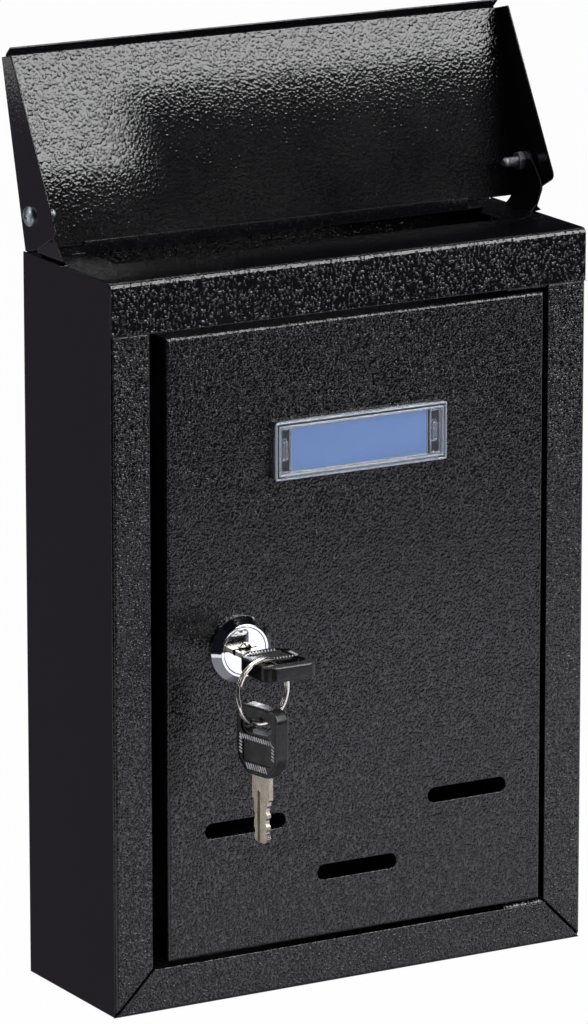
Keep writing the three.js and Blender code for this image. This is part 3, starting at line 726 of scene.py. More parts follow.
def mesh_of(name: str, bm: bmesh.types.BMesh) -> bpy.types.Mesh:
    """Turns a bmesh to a mesh, and frees it.

    Args:
        name: The mesh's name.
        bm: The bmesh.

    Returns:
        The mesh.
    """
    mesh = bpy.data.meshes.new(name)
    bm.to_mesh(mesh)
    bm.free()
    return mesh


def add_object(name: str, data: bpy.types.ID) -> bpy.types.Object:
    """Adds an object to the scene.

    Args:
        name: The object's name.
        data: Its mesh, light or camera.

    Returns:
        The object, at the origin.
    """
    added = bpy.data.objects.new(name, data)
    bpy.context.scene.collection.objects.link(added)
    return added


def frame_copy(node: str) -> bmesh.types.BMesh:
    """Copies a frame node's mesh, joins its loose triangles and clears the flat seams.

    Args:
        node: The node's name.

    Returns:
        The copy.
    """
    bm = bmesh.new()
    bm.from_mesh(bpy.data.objects[node].data)
    bmesh.ops.remove_doubles(bm, verts=bm.verts[:], dist=WELD)
    join_flats(bm)
    return bm


def wear_and_light_layer(bm: bmesh.types.BMesh) -> bmesh.types.BMLayerItem:
    """The layer that holds each face's wear and painted light, added where it is missing."""
    return bm.faces.layers.float.get(WEAR_AND_LIGHT) or bm.faces.layers.float.new(WEAR_AND_LIGHT)


def join_flats(bm: bmesh.types.BMesh) -> None:
    """Dissolves edges between faces that lie in one plane.

    Args:
        bm: The mesh.
    """
    bmesh.ops.dissolve_limit(
        bm, angle_limit=FLAT_JOIN, use_dissolve_boundaries=False, verts=bm.verts[:], edges=bm.edges[:]
    )


def settle_order(bm: bmesh.types.BMesh) -> None:
    """Sorts a mesh's elements by their places, because spin and extrude leave the order to chance.

    Args:
        bm: The mesh.
    """
    ranked = sorted(bm.verts, key=lambda vert: [round(c / MM, 3) for c in vert.co])
    rank = {vert: i for i, vert in enumerate(ranked)}
    bm.verts.sort(key=rank.__getitem__)
    bm.verts.index_update()
    for elements in (bm.edges, bm.faces):
        ranked = sorted(elements, key=lambda element: sorted(vert.index for vert in element.verts))
        rank = {element: i for i, element in enumerate(ranked)}
        elements.sort(key=rank.__getitem__)
        elements.index_update()


def soften(
    bm: bmesh.types.BMesh, radius: float, segments: int = 2, above: float = SHARP, clamp: bool = False
) -> None:
    """Rounds every sharp edge and marks the rounding in the wear and painted light layer: worn on the
    coat, a painted milky glow on the clear plastic.

    Args:
        bm: The mesh.
        radius: How far the rounding runs in from the edge.
        segments: Steps across it.
        above: Smallest angle between two faces that counts as sharp.
        clamp: Whether the radius shrinks where roundings would meet.
    """
    layer = wear_and_light_layer(bm)
    sharp = [e for e in bm.edges if len(e.link_faces) == 2 and e.calc_face_angle(0.0) > above]
    rounding = bmesh.ops.bevel(
        bm,
        geom=sharp,
        offset=radius,
        offset_type="OFFSET",
        segments=segments,
        profile=0.5,
        affect="EDGES",
        clamp_overlap=clamp,
        material=-1,
    )
    for face in rounding["faces"]:
        face[layer] = 1.0


def rectangle(half_x: float, half_y: float, radius: float, middle_y: float = 0.0) -> list[Corner]:
    """Outline of a rectangle whose middle lies on local Y.

    Args:
        half_x: Half its width.
        half_y: Half its height.
        radius: Radius of its corners.
        middle_y: Its middle in Y.

    Returns:
        Corners as x, y and the corner's radius.
    """
    low, high = middle_y - half_y, middle_y + half_y
    return [
        (-half_x, low, radius), (half_x, low, radius), (half_x, high, radius), (-half_x, high, radius)
    ]


def slab(outline: Sequence[Corner], low: float, high: float, steps: int = 6) -> bmesh.types.BMesh:
    """A flat plate in local X and Y with rounded corners, between two heights in Z.

    Args:
        outline: Corners as x, y and the corner's radius.
        low: Lower face.
        high: Upper face.
        steps: Segments of each rounded corner.

    Returns:
        The plate, closed, with its normals outwards.
    """
    bm = bmesh.new()
    corners = [bm.verts.new((x, y, low)) for x, y, _ in outline]
    bm.faces.new(corners)
    for corner, (_, _, radius) in zip(corners, outline):
        if radius > 0:
            bmesh.ops.bevel(
                bm, geom=[corner], offset=radius, segments=steps, profile=0.5, affect="VERTICES",
                material=-1,
            )
    grown = bmesh.ops.extrude_face_region(bm, geom=bm.faces[:])
    raised = [g for g in grown["geom"] if isinstance(g, bmesh.types.BMVert)]
    bmesh.ops.translate(bm, verts=raised, vec=(0.0, 0.0, high - low))
    bmesh.ops.recalc_face_normals(bm, faces=bm.faces[:])
    settle_order(bm)
    return bm


def box(low: Sequence[float], high: Sequence[float]) -> bmesh.types.BMesh:
    """A block between two corners.

    Args:
        low: Lowest corner.
        high: Highest corner.

    Returns:
        The block.
    """
    bm = bmesh.new()
    size = Matrix.Diagonal((*(Vector(high) - Vector(low)), 1.0))
    middle = (Vector(low) + Vector(high)) / 2
    bmesh.ops.create_cube(bm, size=1.0, matrix=Matrix.Translation(middle) @ size)
    return bm


def turned(
    profile: Sequence[tuple[float, float]], steps: int = 96, closed: bool = False
) -> bmesh.types.BMesh:
    """Spins a profile about local Z.

    Args:
        profile: Points as radius and height.
        steps: Segments round the axis.
        closed: Whether the profile's last point joins its first, as in a ring.

    Returns:
        The turned piece, closed, with its normals outwards.
    """
    bm = bmesh.new()
    line = [bm.verts.new((r, 0.0, z)) for r, z in profile]
    edges = [bm.edges.new(pair) for pair in zip(line, line[1:])]
    if closed:
        edges.append(bm.edges.new((line[-1], line[0])))
    bmesh.ops.spin(
        bm, geom=[*line, *edges], cent=(0, 0, 0), axis=(0, 0, 1), angle=2 * math.pi, steps=steps,
        use_merge=True,
    )
    bmesh.ops.remove_doubles(bm, verts=bm.verts[:], dist=0.001 * MM)
    bmesh.ops.recalc_face_normals(bm, faces=bm.faces[:])
    settle_order(bm)
    return bm


def merge(*parts: bmesh.types.BMesh) -> bmesh.types.BMesh:
    """Puts several meshes in one, and frees them.

    Args:
        parts: The meshes.

    Returns:
        One mesh with all of them.
    """
    whole = bmesh.new()
    wear_and_light_layer(whole)
    for part in parts:
        holder = mesh_of("part", part)
        whole.from_mesh(holder)
        bpy.data.meshes.remove(holder)
    return whole


def carve(
    target: bmesh.types.BMesh, *cutters: bmesh.types.BMesh, operation: str = "DIFFERENCE"
) -> bmesh.types.BMesh:
    """Cuts closed solids out of a closed solid, or joins them to it.

    Args:
        target: The solid that stays.
        cutters: The solids that cut it.
        operation: Name of the boolean operation.

    Returns:
        What is left, with its flat seams cleared.
    """
    objects = [add_object("solid", mesh_of("solid", bm)) for bm in (target, *cutters)]
    for cutter in objects[1:]:
        cut = objects[0].modifiers.new("cut", "BOOLEAN")
        cut.operation = operation
        cut.solver = "EXACT"
        cut.object = cutter
    graph = bpy.context.evaluated_depsgraph_get()
    result = bmesh.new()
    result.from_object(objects[0], graph)
    for solid in objects:
        mesh = solid.data
        bpy.data.objects.remove(solid)
        bpy.data.meshes.remove(mesh)
    bmesh.ops.remove_doubles(result, verts=result.verts[:], dist=WELD)
    join_flats(result)
    return result


def turn_to(axis: Vector) -> Matrix:
    """The turn that brings local Z to an axis.

    Args:
        axis: Where local Z points afterwards.

    Returns:
        The turn.
    """
    return Vector((0, 0, 1)).rotation_difference(axis).to_matrix().to_4x4()


def mark_painted_light(bm: bmesh.types.BMesh) -> None:
    """Marks a whole mesh in the wear and painted light layer, as a rounded edge is: a painted milky
    glow on the clear plastic, a painted light grey highlight on the black plastic.

    Args:
        bm: The mesh.
    """
    layer = wear_and_light_layer(bm)
    for face in bm.faces:
        face[layer] = 1.0


def centre_of(node: str) -> Vector:
    """The middle of a frame node's box."""
    low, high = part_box(node)
    return (low + high) / 2


@dataclass(frozen=True)
class Seat:
    """Where a finished piece belongs: its body and the nodes it stands for, and a slot name that is
    kept but not used.
    """

    body: str
    slot: str
    nodes: tuple[str, ...]


def finish_piece(
    name: str,
    bm: bmesh.types.BMesh,
    material: bpy.types.Material,
    seat: Seat,
    smooth: float = SMOOTH_UP_TO,
) -> bpy.types.Object:
    """Turns a mesh in its final place to an object of the model.

    Args:
        name: The piece's name.
        bm: Its mesh, in the frame's axes.
        material: Its material.
        seat: The body it rides on and the nodes it replaces.
        smooth: Largest angle that is shaded as one surface.

    Returns:
        The object.
    """
    wear_and_light_layer(bm)
    mesh = mesh_of(name, bm)
    mesh.materials.append(material)
    mesh.shade_smooth()
    mesh.set_sharp_from_angle(angle=smooth)
    piece = add_object(name, mesh)
    even = piece.modifiers.new("even_normals", "WEIGHTED_NORMAL")
    even.mode = "FACE_AREA"
    even.weight = 100
    even.keep_sharp = True
    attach(piece, seat.body)
    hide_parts(*seat.nodes)
    LOG.info("%s: %d faces on %s", name, len(mesh.polygons), seat.body)
    return piece


# ------------------------------------------------------------------ sheet steel


@dataclass(frozen=True)
class FoldedSheet:
    """One folded sheet: its frame shape with rounded edges under the powder coat."""

    node: str
    body: str
    relief: Relief
    edge_radius: float = 0.34 * MM
    edge_steps: int = 3
    broad_side: float = 0.3  # least sideways share of a normal on the calm broad sides

    def build(self, shop: PaintShop) -> bpy.types.Object:
        """Builds the sheet.

        Args:
            shop: Where its material comes from.

        Returns:
            The sheet's object.
        """
        bm = frame_copy(self.node)
        soften(bm, self.edge_radius, self.edge_steps)
        calm = bm.faces.layers.float.new(CALM)
        for face in bm.faces:
            face[calm] = 1.0 if abs(face.normal.x) > self.broad_side else 0.0
        coat = shop.material(PowderCoat(self.relief))
        seat = Seat(self.body, "powder_coat", (self.node,))
        return finish_piece(f"{self.node}_coated", bm, coat, seat)


@dataclass
class Housing:
    """The welded box: side panels, bottom, back, cover with its slot, stops and hinge brackets."""

    sheets: tuple[FoldedSheet, ...] = (
        FoldedSheet("side_panel_left", "frame", Relief.BODY),
        FoldedSheet("side_panel_right", "frame", Relief.BODY),
        FoldedSheet("bottom_panel", "frame", Relief.BODY),
        FoldedSheet("back_panel", "frame", Relief.BODY),
        FoldedSheet("top_cover", "frame", Relief.COVER),
        FoldedSheet("door_stop_upper", "frame", Relief.BODY),
        FoldedSheet("door_stop_lower", "frame", Relief.BODY),
        FoldedSheet("door_hinge_bracket_upper", "frame", Relief.BODY),
        FoldedSheet("door_hinge_bracket_lower", "frame", Relief.BODY),
    )

    def build(self, shop: PaintShop) -> None:
        """Builds every sheet of the box."""
        for sheet in self.sheets:
            sheet.build(shop)


@dataclass
class RainLid:
    """The folded lid with its drip lip and cheeks."""

    shell: FoldedSheet = FoldedSheet("lid_shell", "lid", Relief.LID)

    def build(self, shop: PaintShop) -> None:
        """Builds the lid's shell."""
        self.shell.build(shop)


@dataclass
class FrontDoor:
    """The door pan with its view slots, and the two riveted hinge pins with their washer."""

    pan: FoldedSheet = FoldedSheet("door_pan", "door", Relief.DOOR, 0.3 * MM)
    pin_edge: float = 0.3 * MM
    washer_edge: float = 0.1 * MM

    def build(self, shop: PaintShop) -> None:
        """Builds the pan, the pins and the washer.

        Args:
            shop: Where the finishes come from.
        """
        self.pan.build(shop)
        # painted shade: the pins and washer in the door's gap are given the dark black zinc so that
        # they stay dark there
        zinc = shop.material(BLACK_ZINC)
        for end in ("upper", "lower"):
            node = f"door_pin_{end}"
            bm = frame_copy(node)
            soften(bm, self.pin_edge)
            finish_piece(f"{node}_rivet", bm, zinc, Seat("door", "zinc", (node,)))
        bm = frame_copy("door_washer_lower")
        soften(bm, self.washer_edge)
        finish_piece("door_washer_plated", bm, zinc, Seat("frame", "zinc", ("door_washer_lower",)))


# ------------------------------------------------------------------ name plate


@dataclass
class NamePlate:
    """The clear holder with its tubular rim, end clips and grip ribs, and the blank card."""

    edge_radius: float = 0.6 * MM
    # inset and width of each bead
    beads: tuple[tuple[float, float], ...] = ((0.25 * MM, 0.75 * MM), (1.75 * MM, 0.6 * MM))
    bead_rise: float = 0.35 * MM
    bead_rounding: float = 0.4  # share of a bead's width
    pocket: tuple[float, float] = (4.6 * MM, 17.6 * MM)
    clip: tuple[float, float] = (1.9 * MM, 7 * MM)
    clip_wall: float = 0.4 * MM
    clip_root: float = 0.1 * MM  # how deep a clip stands in the window
    clip_edge: float = 0.12 * MM
    clip_rise: float = 0.7 * MM
    clip_inset: float = 5.2 * MM  # plate's end to the clip's middle
    window_depth: float = 1.0 * MM  # rim's face to the window
    rib_pitch: float = 1.0 * MM
    rib_width: float = 0.5 * MM
    rib_depth: float = 0.48 * MM
    rib_root: float = 0.3 * MM
    rib_span: tuple[float, float] = (0.55 * MM, 2.1 * MM)  # ends above the holder's lower edge
    rib_edge: float = 0.07 * MM
    rib_margin: float = 4 * MM
    card_edge: float = 0.08 * MM

    def build(self, shop: PaintShop) -> None:
        """Builds the holder and the card.

        Args:
            shop: Where the finishes come from.
        """
        low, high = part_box("nameplate_holder")
        middle = (low + high) / 2
        bm = frame_copy("nameplate_holder")
        soften(bm, self.edge_radius, 3, clamp=True)
        window = low.y + self.window_depth
        clips = [
            self.frame_round(Vector((x, window, middle.z)), *size)
            for x in (low.x + self.clip_inset, high.x - self.clip_inset)
            for size in (self.pocket, self.clip)
        ]
        beads = [self.bead(low, high, inset, width) for inset, width in self.beads]
        holder = merge(bm, *clips, *beads, self.ribs(low, high))
        seat = Seat("door", "clear_plastic", ("nameplate_holder",))
        finish_piece("nameplate_clear", holder, shop.material(ClearStyrene()), seat)
        card = frame_copy("name_card")
        soften(card, self.card_edge, 1)
        seat = Seat("door", "card", ("name_card",))
        finish_piece("name_card_blank", card, shop.material(CardStock()), seat)

    def bead(self, low: Vector, high: Vector, inset: float, width: float) -> bmesh.types.BMesh:
        """A rounded bead that runs round the rim's face.

        Args:
            low: The holder's lowest corner.
            high: The holder's highest corner.
            inset: The bead's outside from the rim's outside.
            width: The bead's width.

        Returns:
            The bead.
        """
        face = low.y
        outer, inner = (
            box((low.x + d, face - rise, low.z + d), (high.x - d, face + rise, high.z - d))
            for d, rise in ((inset, self.bead_rise), (inset + width, MM))
        )
        bm = carve(outer, inner)
        soften(bm, width * self.bead_rounding, 3, clamp=True)
        mark_painted_light(bm)
        return bm

    def frame_round(self, middle: Vector, width: float, height: float) -> bmesh.types.BMesh:
        """A small upright frame on the window, for the card's end or its catch.

        Args:
            middle: The frame's middle on the window's face.
            width: Outer width.
            height: Outer height.

        Returns:
            The frame.
        """
        half = Vector((width / 2, 0.0, height / 2))
        wall = Vector((self.clip_wall, 0.0, self.clip_wall))
        rise, root = Vector((0.0, self.clip_rise, 0.0)), Vector((0.0, self.clip_root, 0.0))
        outer = box(middle - half - rise, middle + half + root)
        inner = box(middle - half + wall - 2 * rise, middle + half - wall + 2 * rise)
        bm = carve(outer, inner)
        soften(bm, self.clip_edge)
        return bm

    def ribs(self, low: Vector, high: Vector) -> bmesh.types.BMesh:
        """Fine grip ribs along the lower rim.

        Args:
            low: The holder's lowest corner.
            high: The holder's highest corner.

        Returns:
            All the ribs in one mesh.
        """
        count = int((high.x - low.x - 2 * self.rib_margin) / self.rib_pitch)
        start = (low.x + high.x - (count - 1) * self.rib_pitch) / 2
        half = self.rib_width / 2
        bars = []
        for i in range(count):
            x = start + i * self.rib_pitch
            bars.append(
                box(
                    (x - half, low.y - self.rib_depth, low.z + self.rib_span[0]),
                    (x + half, low.y + self.rib_root, low.z + self.rib_span[1]),
                )
            )
        bm = merge(*bars)
        soften(bm, self.rib_edge, 1)
        mark_painted_light(bm)
        return bm


# ------------------------------------------------------------------ lock


@dataclass
class CamLock:
    """The cam lock: chromed body and plug, hexagon nut, cam and its screw."""

    bezel_radius: float = 13.5 * MM
    rim_height: float = 1.2 * MM
    face_radius: float = 10.5 * MM
    face_height: float = 4.3 * MM
    barrel_radius: float = 9.5 * MM
    barrel_length: float = 14.6 * MM
    groove_radius: float = 9.5 * MM
    groove_depth: float = 2.55 * MM
    bore_radius: float = 7.35 * MM
    plug_head: float = 9.35 * MM
    plug_head_height: float = 2.4 * MM
    plug_radius: float = 7.2 * MM
    plug_end: float = 17 * MM
    square: float = 7 * MM
    square_end: float = 18.4 * MM
    keyway: tuple[float, float] = (10.6 * MM, 2.6 * MM)
    keyway_corner: float = 0.4 * MM
    keyway_end: float = 13.5 * MM
    dish_radius: float = 3.4 * MM
    dish_depth: float = 1.0 * MM
    thread_pitch: float = 1.0 * MM
    thread_depth: float = 0.45 * MM
    thread_crest: tuple[float, float] = (0.4, 0.6)  # where the crest begins and ends in a pitch
    thread_start: float = 1.0 * MM  # from the door's face
    end_collar: float = 0.8 * MM
    edge: float = 0.25 * MM
    body_edge: float = 0.12 * MM
    body_sharp: float = math.radians(32)  # least bend of an edge that is rounded
    plug_edge: float = 0.08 * MM
    plug_sharp: float = math.radians(40)
    nut_edge: float = 0.35 * MM
    cam_edge: float = 0.2 * MM
    screw_edge: float = 0.12 * MM

    def place(self) -> Matrix:
        """Local Z to the frame's +Y, with the origin on the door's face.

        Returns:
            The place.
        """
        low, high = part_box("lock_body")
        origin = Vector(((low.x + high.x) / 2, low.y + self.face_height, (low.z + high.z) / 2))
        return Matrix.Translation(origin) @ turn_to(Vector((0, 1, 0)))

    def build(self, shop: PaintShop) -> None:
        """Builds the lock's pieces.

        Args:
            shop: Where the finishes come from.
        """
        chrome, zinc = shop.material(BRIGHT_CHROME), shop.material(BLUE_ZINC)
        place = self.place()
        for name, bm, node, body in (
            ("lock_body_chromed", self.body(), "lock_body", "door"),
            ("lock_plug_chromed", self.plug(), "lock_plug", "lock"),
        ):
            bm.transform(place)
            finish_piece(name, bm, chrome, Seat(body, "chrome", (node,)), SMOOTH_PLATED)
        for node, body, edge in (
            ("lock_nut", "door", self.nut_edge),
            ("lock_cam", "lock", self.cam_edge),
            ("cam_screw", "lock", self.screw_edge),
        ):
            bm = frame_copy(node)
            soften(bm, edge)
            finish_piece(f"{node}_plated", bm, zinc, Seat(body, "zinc", (node,)))

    def body(self) -> bmesh.types.BMesh:
        """Bezel, threaded barrel and the bore for the plug.

        Returns:
            The body about its axis.
        """
        root, face = self.barrel_radius - self.thread_depth, -self.face_height
        rise, fall = (share * self.thread_pitch for share in self.thread_crest)
        thread = []
        for i in range(int((self.barrel_length - 2 * self.thread_start) / self.thread_pitch)):
            z = self.thread_start + i * self.thread_pitch
            thread += [(root, z), (self.barrel_radius, z + rise), (self.barrel_radius, z + fall)]
        bm = turned(
            [
                (self.bore_radius, face + self.groove_depth),
                (self.groove_radius, face + self.groove_depth),
                (self.groove_radius, face),
                (self.face_radius, face),
                (self.bezel_radius, -self.rim_height),
                (self.bezel_radius, 0.0),
                (root, 0.0),
                *thread,
                (root, self.barrel_length - self.end_collar),
                (root, self.barrel_length),
                (self.bore_radius, self.barrel_length),
            ],
            closed=True,
        )
        soften(bm, self.body_edge, 2, self.body_sharp)
        return bm

    def plug(self) -> bmesh.types.BMesh:
        """Plug with its dished face, the keyway and the square for the cam.

        Returns:
            The plug about its axis.
        """
        face = -self.face_height
        round_part = turned(
            [
                (0.0, face),
                (self.plug_head - self.edge, face),
                (self.plug_head, face + self.edge),
                (self.plug_head, face + self.plug_head_height),
                (self.plug_radius, face + self.plug_head_height),
                (self.plug_radius, self.plug_end),
                (0.0, self.plug_end),
            ]
        )
        half = self.square / 2
        seat = box((-half, -half, self.plug_end - MM), (half, half, self.square_end))
        plug = carve(round_part, seat, operation="UNION")
        ball_radius = (self.dish_radius**2 + self.dish_depth**2) / (2 * self.dish_depth)
        ball = bmesh.new()
        bmesh.ops.create_uvsphere(
            ball, u_segments=64, v_segments=48, radius=ball_radius,
            matrix=Matrix.Translation((0, 0, face + self.dish_depth - ball_radius)),
        )
        keyway = rectangle(self.keyway[0] / 2, self.keyway[1] / 2, self.keyway_corner)
        bm = carve(plug, ball, slab(keyway, face - MM, self.keyway_end, 4))
        soften(bm, self.plug_edge, 2, self.plug_sharp, clamp=True)
        return bm


# ------------------------------------------------------------------ keys


class KeyPlace(Enum):
    """Which of the two keys a key is: the frame nodes it stands for, and its body."""

    INSERTED = ("key_blade", "key_bow", "key")
    SPARE = ("spare_key_blade", "spare_key_bow", "spare_key")

    @property
    def blade(self) -> str:
        """The blade's node."""
        return self.value[0]

    @property
    def bow(self) -> str:
        """The bow's node."""
        return self.value[1]

    @property
    def body(self) -> str:
        """The body that both ride on."""
        return self.value[2]


@dataclass
class LockKey:
    """A flat key: plated blade with bits and a groove, and a moulded bow with a hatched panel.

    Local X is its width, +Y runs to the blade's tip with the shoulder's end at 0, Z its thickness.
    """

    where: KeyPlace
    thickness: float = 2 * MM
    shoulder_width: float = 10 * MM
    shoulder_length: float = 10 * MM
    blade_width: float = 8 * MM
    blade_length: float = 17.2 * MM
    tang_length: float = 6 * MM
    # bits as distance from the shoulder's end and depth of cut, in millimetres
    deep_bits: tuple[tuple[float, float], ...] = (
        (1.5, 0.0), (2.6, 1.0), (4.2, 1.0), (5.2, 0.25), (6.4, 0.25), (7.6, 1.2), (9.0, 1.2),
        (10.0, 0.4), (11.2, 0.4), (12.2, 0.9), (13.4, 0.9), (14.4, 0.3), (15.2, 0.3),
    )
    shallow_bits: tuple[tuple[float, float], ...] = (
        (14.6, 0.2), (13.4, 0.7), (12.2, 0.7), (11.0, 0.15), (8.4, 0.15), (7.2, 0.6), (5.6, 0.6),
        (4.4, 0.0),
    )
    shoulder_fall: float = 0.8 * MM
    shoulder_corner: float = 0.3 * MM
    tip_corner: float = 0.4 * MM
    # in from the edge and back from the end, at the deep bits' side and at the other
    tip_cuts: tuple[tuple[float, float], ...] = ((1.0 * MM, 0.6 * MM), (0.9 * MM, 0.9 * MM))
    blade_edge: float = 0.1 * MM
    blade_sharp: float = math.radians(35)  # least bend of an edge that is rounded
    groove: tuple[float, float, float] = (-0.3 * MM, 3.2 * MM, 0.4 * MM)  # middle, width, depth
    channel: tuple[float, float, float] = (-1.3 * MM, 1.2 * MM, 0.75 * MM)
    groove_start: float = -3.2 * MM
    bow_width: float = 24 * MM
    bow_length: float = 28 * MM
    bow_thickness: float = 6.4 * MM
    bow_corner: float = 5 * MM
    neck_width: float = 13 * MM
    neck_corner: float = 1.6 * MM
    bow_shoulder: float = 7 * MM
    waist_corner: float = 3 * MM
    bow_edge: float = 1.0 * MM
    bow_sharp: float = math.radians(60)
    bow_smooth: float = math.radians(40)
    tang_play: float = 0.3 * MM
    rub: float = 0.06  # wear on the bow's slanting faces
    slant: tuple[float, float] = (0.2, 0.95)  # share of Z in a slanting face's normal
    slot_length: float = 16 * MM
    slot_width: float = 5.8 * MM
    slot_from_end: float = 8 * MM
    well: tuple[float, float, float] = (2.4 * MM, 2.2 * MM, 0.7 * MM)  # past the slot in X, in Y, depth
    panel_half_width: float = 10.3 * MM
    panel_low: float = -26.2 * MM
    panel_high: float = -11.9 * MM
    panel_depth: float = 0.35 * MM
    inner_panel_depth: float = 0.77 * MM
    panel_corner: float = 0.6 * MM
    panel_cut: float = 3.6 * MM
    hatch_pitch: float = 1.35 * MM
    hatch_bar: float = 0.55 * MM
    hatch_strip: float = 3.2 * MM
    end_border: float = 0.75  # border at the bow's end against the strip at its neck
    hatch_side: float = 1.9 * MM
    hatch_lean: float = math.radians(28)
    side_lean: float = math.radians(62)
    hatch_sink: tuple[float, float] = (0.06 * MM, 0.05 * MM)  # below the face, and into the panel
    # hatched strips at the panel's two ends: where each begins and ends, counted from that end,
    # and how far it stops short of the panel's sides
    end_strip: tuple[float, float, float] = (0.25 * MM, 2.176 * MM, 1.0 * MM)
    neck_strip: tuple[float, float, float] = (2.95 * MM, 0.3 * MM, 4.8 * MM)
    column_ends: tuple[float, float] = (2.2 * MM, 4.2 * MM)  # side columns from the panel's ends
    column_bar: float = 0.8  # a side bar's length against its column's width

    @property
    def bow_end(self) -> float:
        """The bow's far end in local Y."""
        return -self.shoulder_length - self.bow_length

    def place(self) -> Matrix:
        """The key's place, from its bow's box in the frame.

        Returns:
            The place.
        """
        low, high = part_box(self.where.bow)
        middle = (low + high) / 2
        if self.where is KeyPlace.INSERTED:
            return Matrix.Translation((middle.x, low.y - self.bow_end, middle.z))
        upright = Matrix.Rotation(-math.pi / 2, 4, "X")
        hang = Matrix.Rotation(RING_TURN - math.pi / 2, 4, "Z") @ upright
        return Matrix.Translation((middle.x, middle.y, high.z + self.bow_end)) @ hang

    def build(self, shop: PaintShop) -> None:
        """Builds the blade and the bow.

        Args:
            shop: Where the finishes come from.
        """
        place = self.place()
        nickel, plastic = shop.material(ROLLED_NICKEL), shop.material(MouldedAbs())
        blade = self.blade()
        blade.transform(place)
        seat = Seat(self.where.body, "nickel", (self.where.blade,))
        finish_piece(f"{self.where.blade}_cut", blade, nickel, seat, SMOOTH_PLATED)
        bow = self.bow()
        bow.transform(place)
        seat = Seat(self.where.body, "black_plastic", (self.where.bow,))
        finish_piece(f"{self.where.bow}_moulded", bow, plastic, seat, self.bow_smooth)

    def blade(self) -> bmesh.types.BMesh:
        """Blade, shoulder and tang, with bits on both edges and grooves down both faces.

        Returns:
            The blade in local axes.
        """
        half, shoulder, z = self.blade_width / 2, self.shoulder_width / 2, self.thickness / 2
        neck, tip, fall = -self.shoulder_length, self.blade_length, -self.shoulder_fall
        tang = neck - self.tang_length
        turn, point = self.shoulder_corner, self.tip_corner
        (deep_in, deep_back), (shallow_in, shallow_back) = self.tip_cuts
        outline = [
            (-half, tang, 0.0), (half, tang, 0.0), (half, neck, 0.0), (shoulder, neck, turn),
            (shoulder, fall, turn), (half, 0.0, 0.0),
            *[(half - cut * MM, y * MM, 0.0) for y, cut in self.deep_bits],
            (half - deep_in, tip - deep_back, point), (half / 3, tip, point),
            (-half / 3, tip, point), (-half + shallow_in, tip - shallow_back, point),
            *[(-half + cut * MM, y * MM, 0.0) for y, cut in self.shallow_bits],
            (-half, 0.0, 0.0), (-shoulder, fall, turn), (-shoulder, neck, turn), (-half, neck, 0.0),
        ]
        bm = slab(outline, -z, z, 3)
        cutters = []
        for side in (1, -1):
            for x, width, depth in (self.groove, self.channel):
                low, high = sorted((side * (z - depth), side * (z + MM)))
                wide, start = width / 2, self.groove_start - depth
                round_end = wide * ROUND_END
                path = [
                    (x - wide, start, round_end), (x + wide, start, round_end),
                    (x + wide, tip + MM, 0.0), (x - wide, tip + MM, 0.0),
                ]
                cutters.append(slab(path, low, high, 5))
        bm = carve(bm, *cutters)
        soften(bm, self.blade_edge, 2, self.blade_sharp, clamp=True)
        return bm

    def bow(self) -> bmesh.types.BMesh:
        """Moulded bow: rounded body, ring slot in a shallow well, and a hatched panel on each face.

        Returns:
            The bow in local axes.
        """
        wide, neck, z = self.bow_width / 2, self.neck_width / 2, self.bow_thickness / 2
        play = self.tang_play
        near = -self.shoulder_length - play
        waist = -self.shoulder_length - self.bow_shoulder
        outline = [
            (-wide, self.bow_end, self.bow_corner), (wide, self.bow_end, self.bow_corner),
            (wide, waist, self.waist_corner), (neck, near, self.neck_corner),
            (-neck, near, self.neck_corner), (-wide, waist, self.waist_corner),
        ]
        body = slab(outline, -z, z, 8)
        soften(body, self.bow_edge, 4, self.bow_sharp)
        half, gap = self.blade_width / 2 + play, self.thickness / 2 + play
        tang = box((-half, near - self.tang_length, -gap), (half, -self.shoulder_length + MM, gap))
        cutters = [slab(self.ring_slot(0.0, 0.0), -z - MM, z + MM, 8), tang]
        past_x, past_y, well = self.well
        for side in (1, -1):
            for outline, depth, steps in (
                (self.ring_slot(past_x, past_y), well, 8),
                (self.panel_outline(0.0), self.panel_depth, 4),
                (self.panel_outline(1.0), self.inner_panel_depth, 4),
            ):
                low, high = sorted((side * (z - depth), side * (z + MM)))
                cutters.append(slab(outline, low, high, steps))
        bm = carve(body, *cutters)
        layer, (steep, flat) = wear_and_light_layer(bm), self.slant
        for face in bm.faces:
            face[layer] = self.rub if steep < abs(face.normal.z) < flat else 0.0
        return merge(bm, self.hatching(z), self.hatching(-z))

    def ring_slot(self, past_x: float, past_y: float) -> list[Corner]:
        """Outline of the slot with round ends that lies across the bow, or of the well round it.

        Args:
            past_x: How much longer than the slot it is.
            past_y: How much wider than the slot it is.

        Returns:
            Corners with their radii.
        """
        half_x, half_y = (self.slot_length + past_x) / 2, (self.slot_width + past_y) / 2
        return rectangle(half_x, half_y, half_y * ROUND_END, self.bow_end + self.slot_from_end)

    def panel_outline(self, inner: float) -> list[Corner]:
        """Outline of the panel that frames the bow's face.

        Args:
            inner: 0 for the outside of the hatched border, 1 for its inside.

        Returns:
            Corners with their radii.
        """
        side = self.panel_half_width - inner * self.hatch_side
        low = self.panel_low + inner * self.hatch_strip * self.end_border
        high = self.panel_high - inner * self.hatch_strip
        turn = self.panel_corner
        cut = self.panel_cut * (1 - inner) + turn
        return [
            (-side, low, turn), (side, low, turn), (side, high - cut, turn),
            (side - cut, high, turn), (-side + cut, high, turn), (-side, high - cut, turn),
        ]

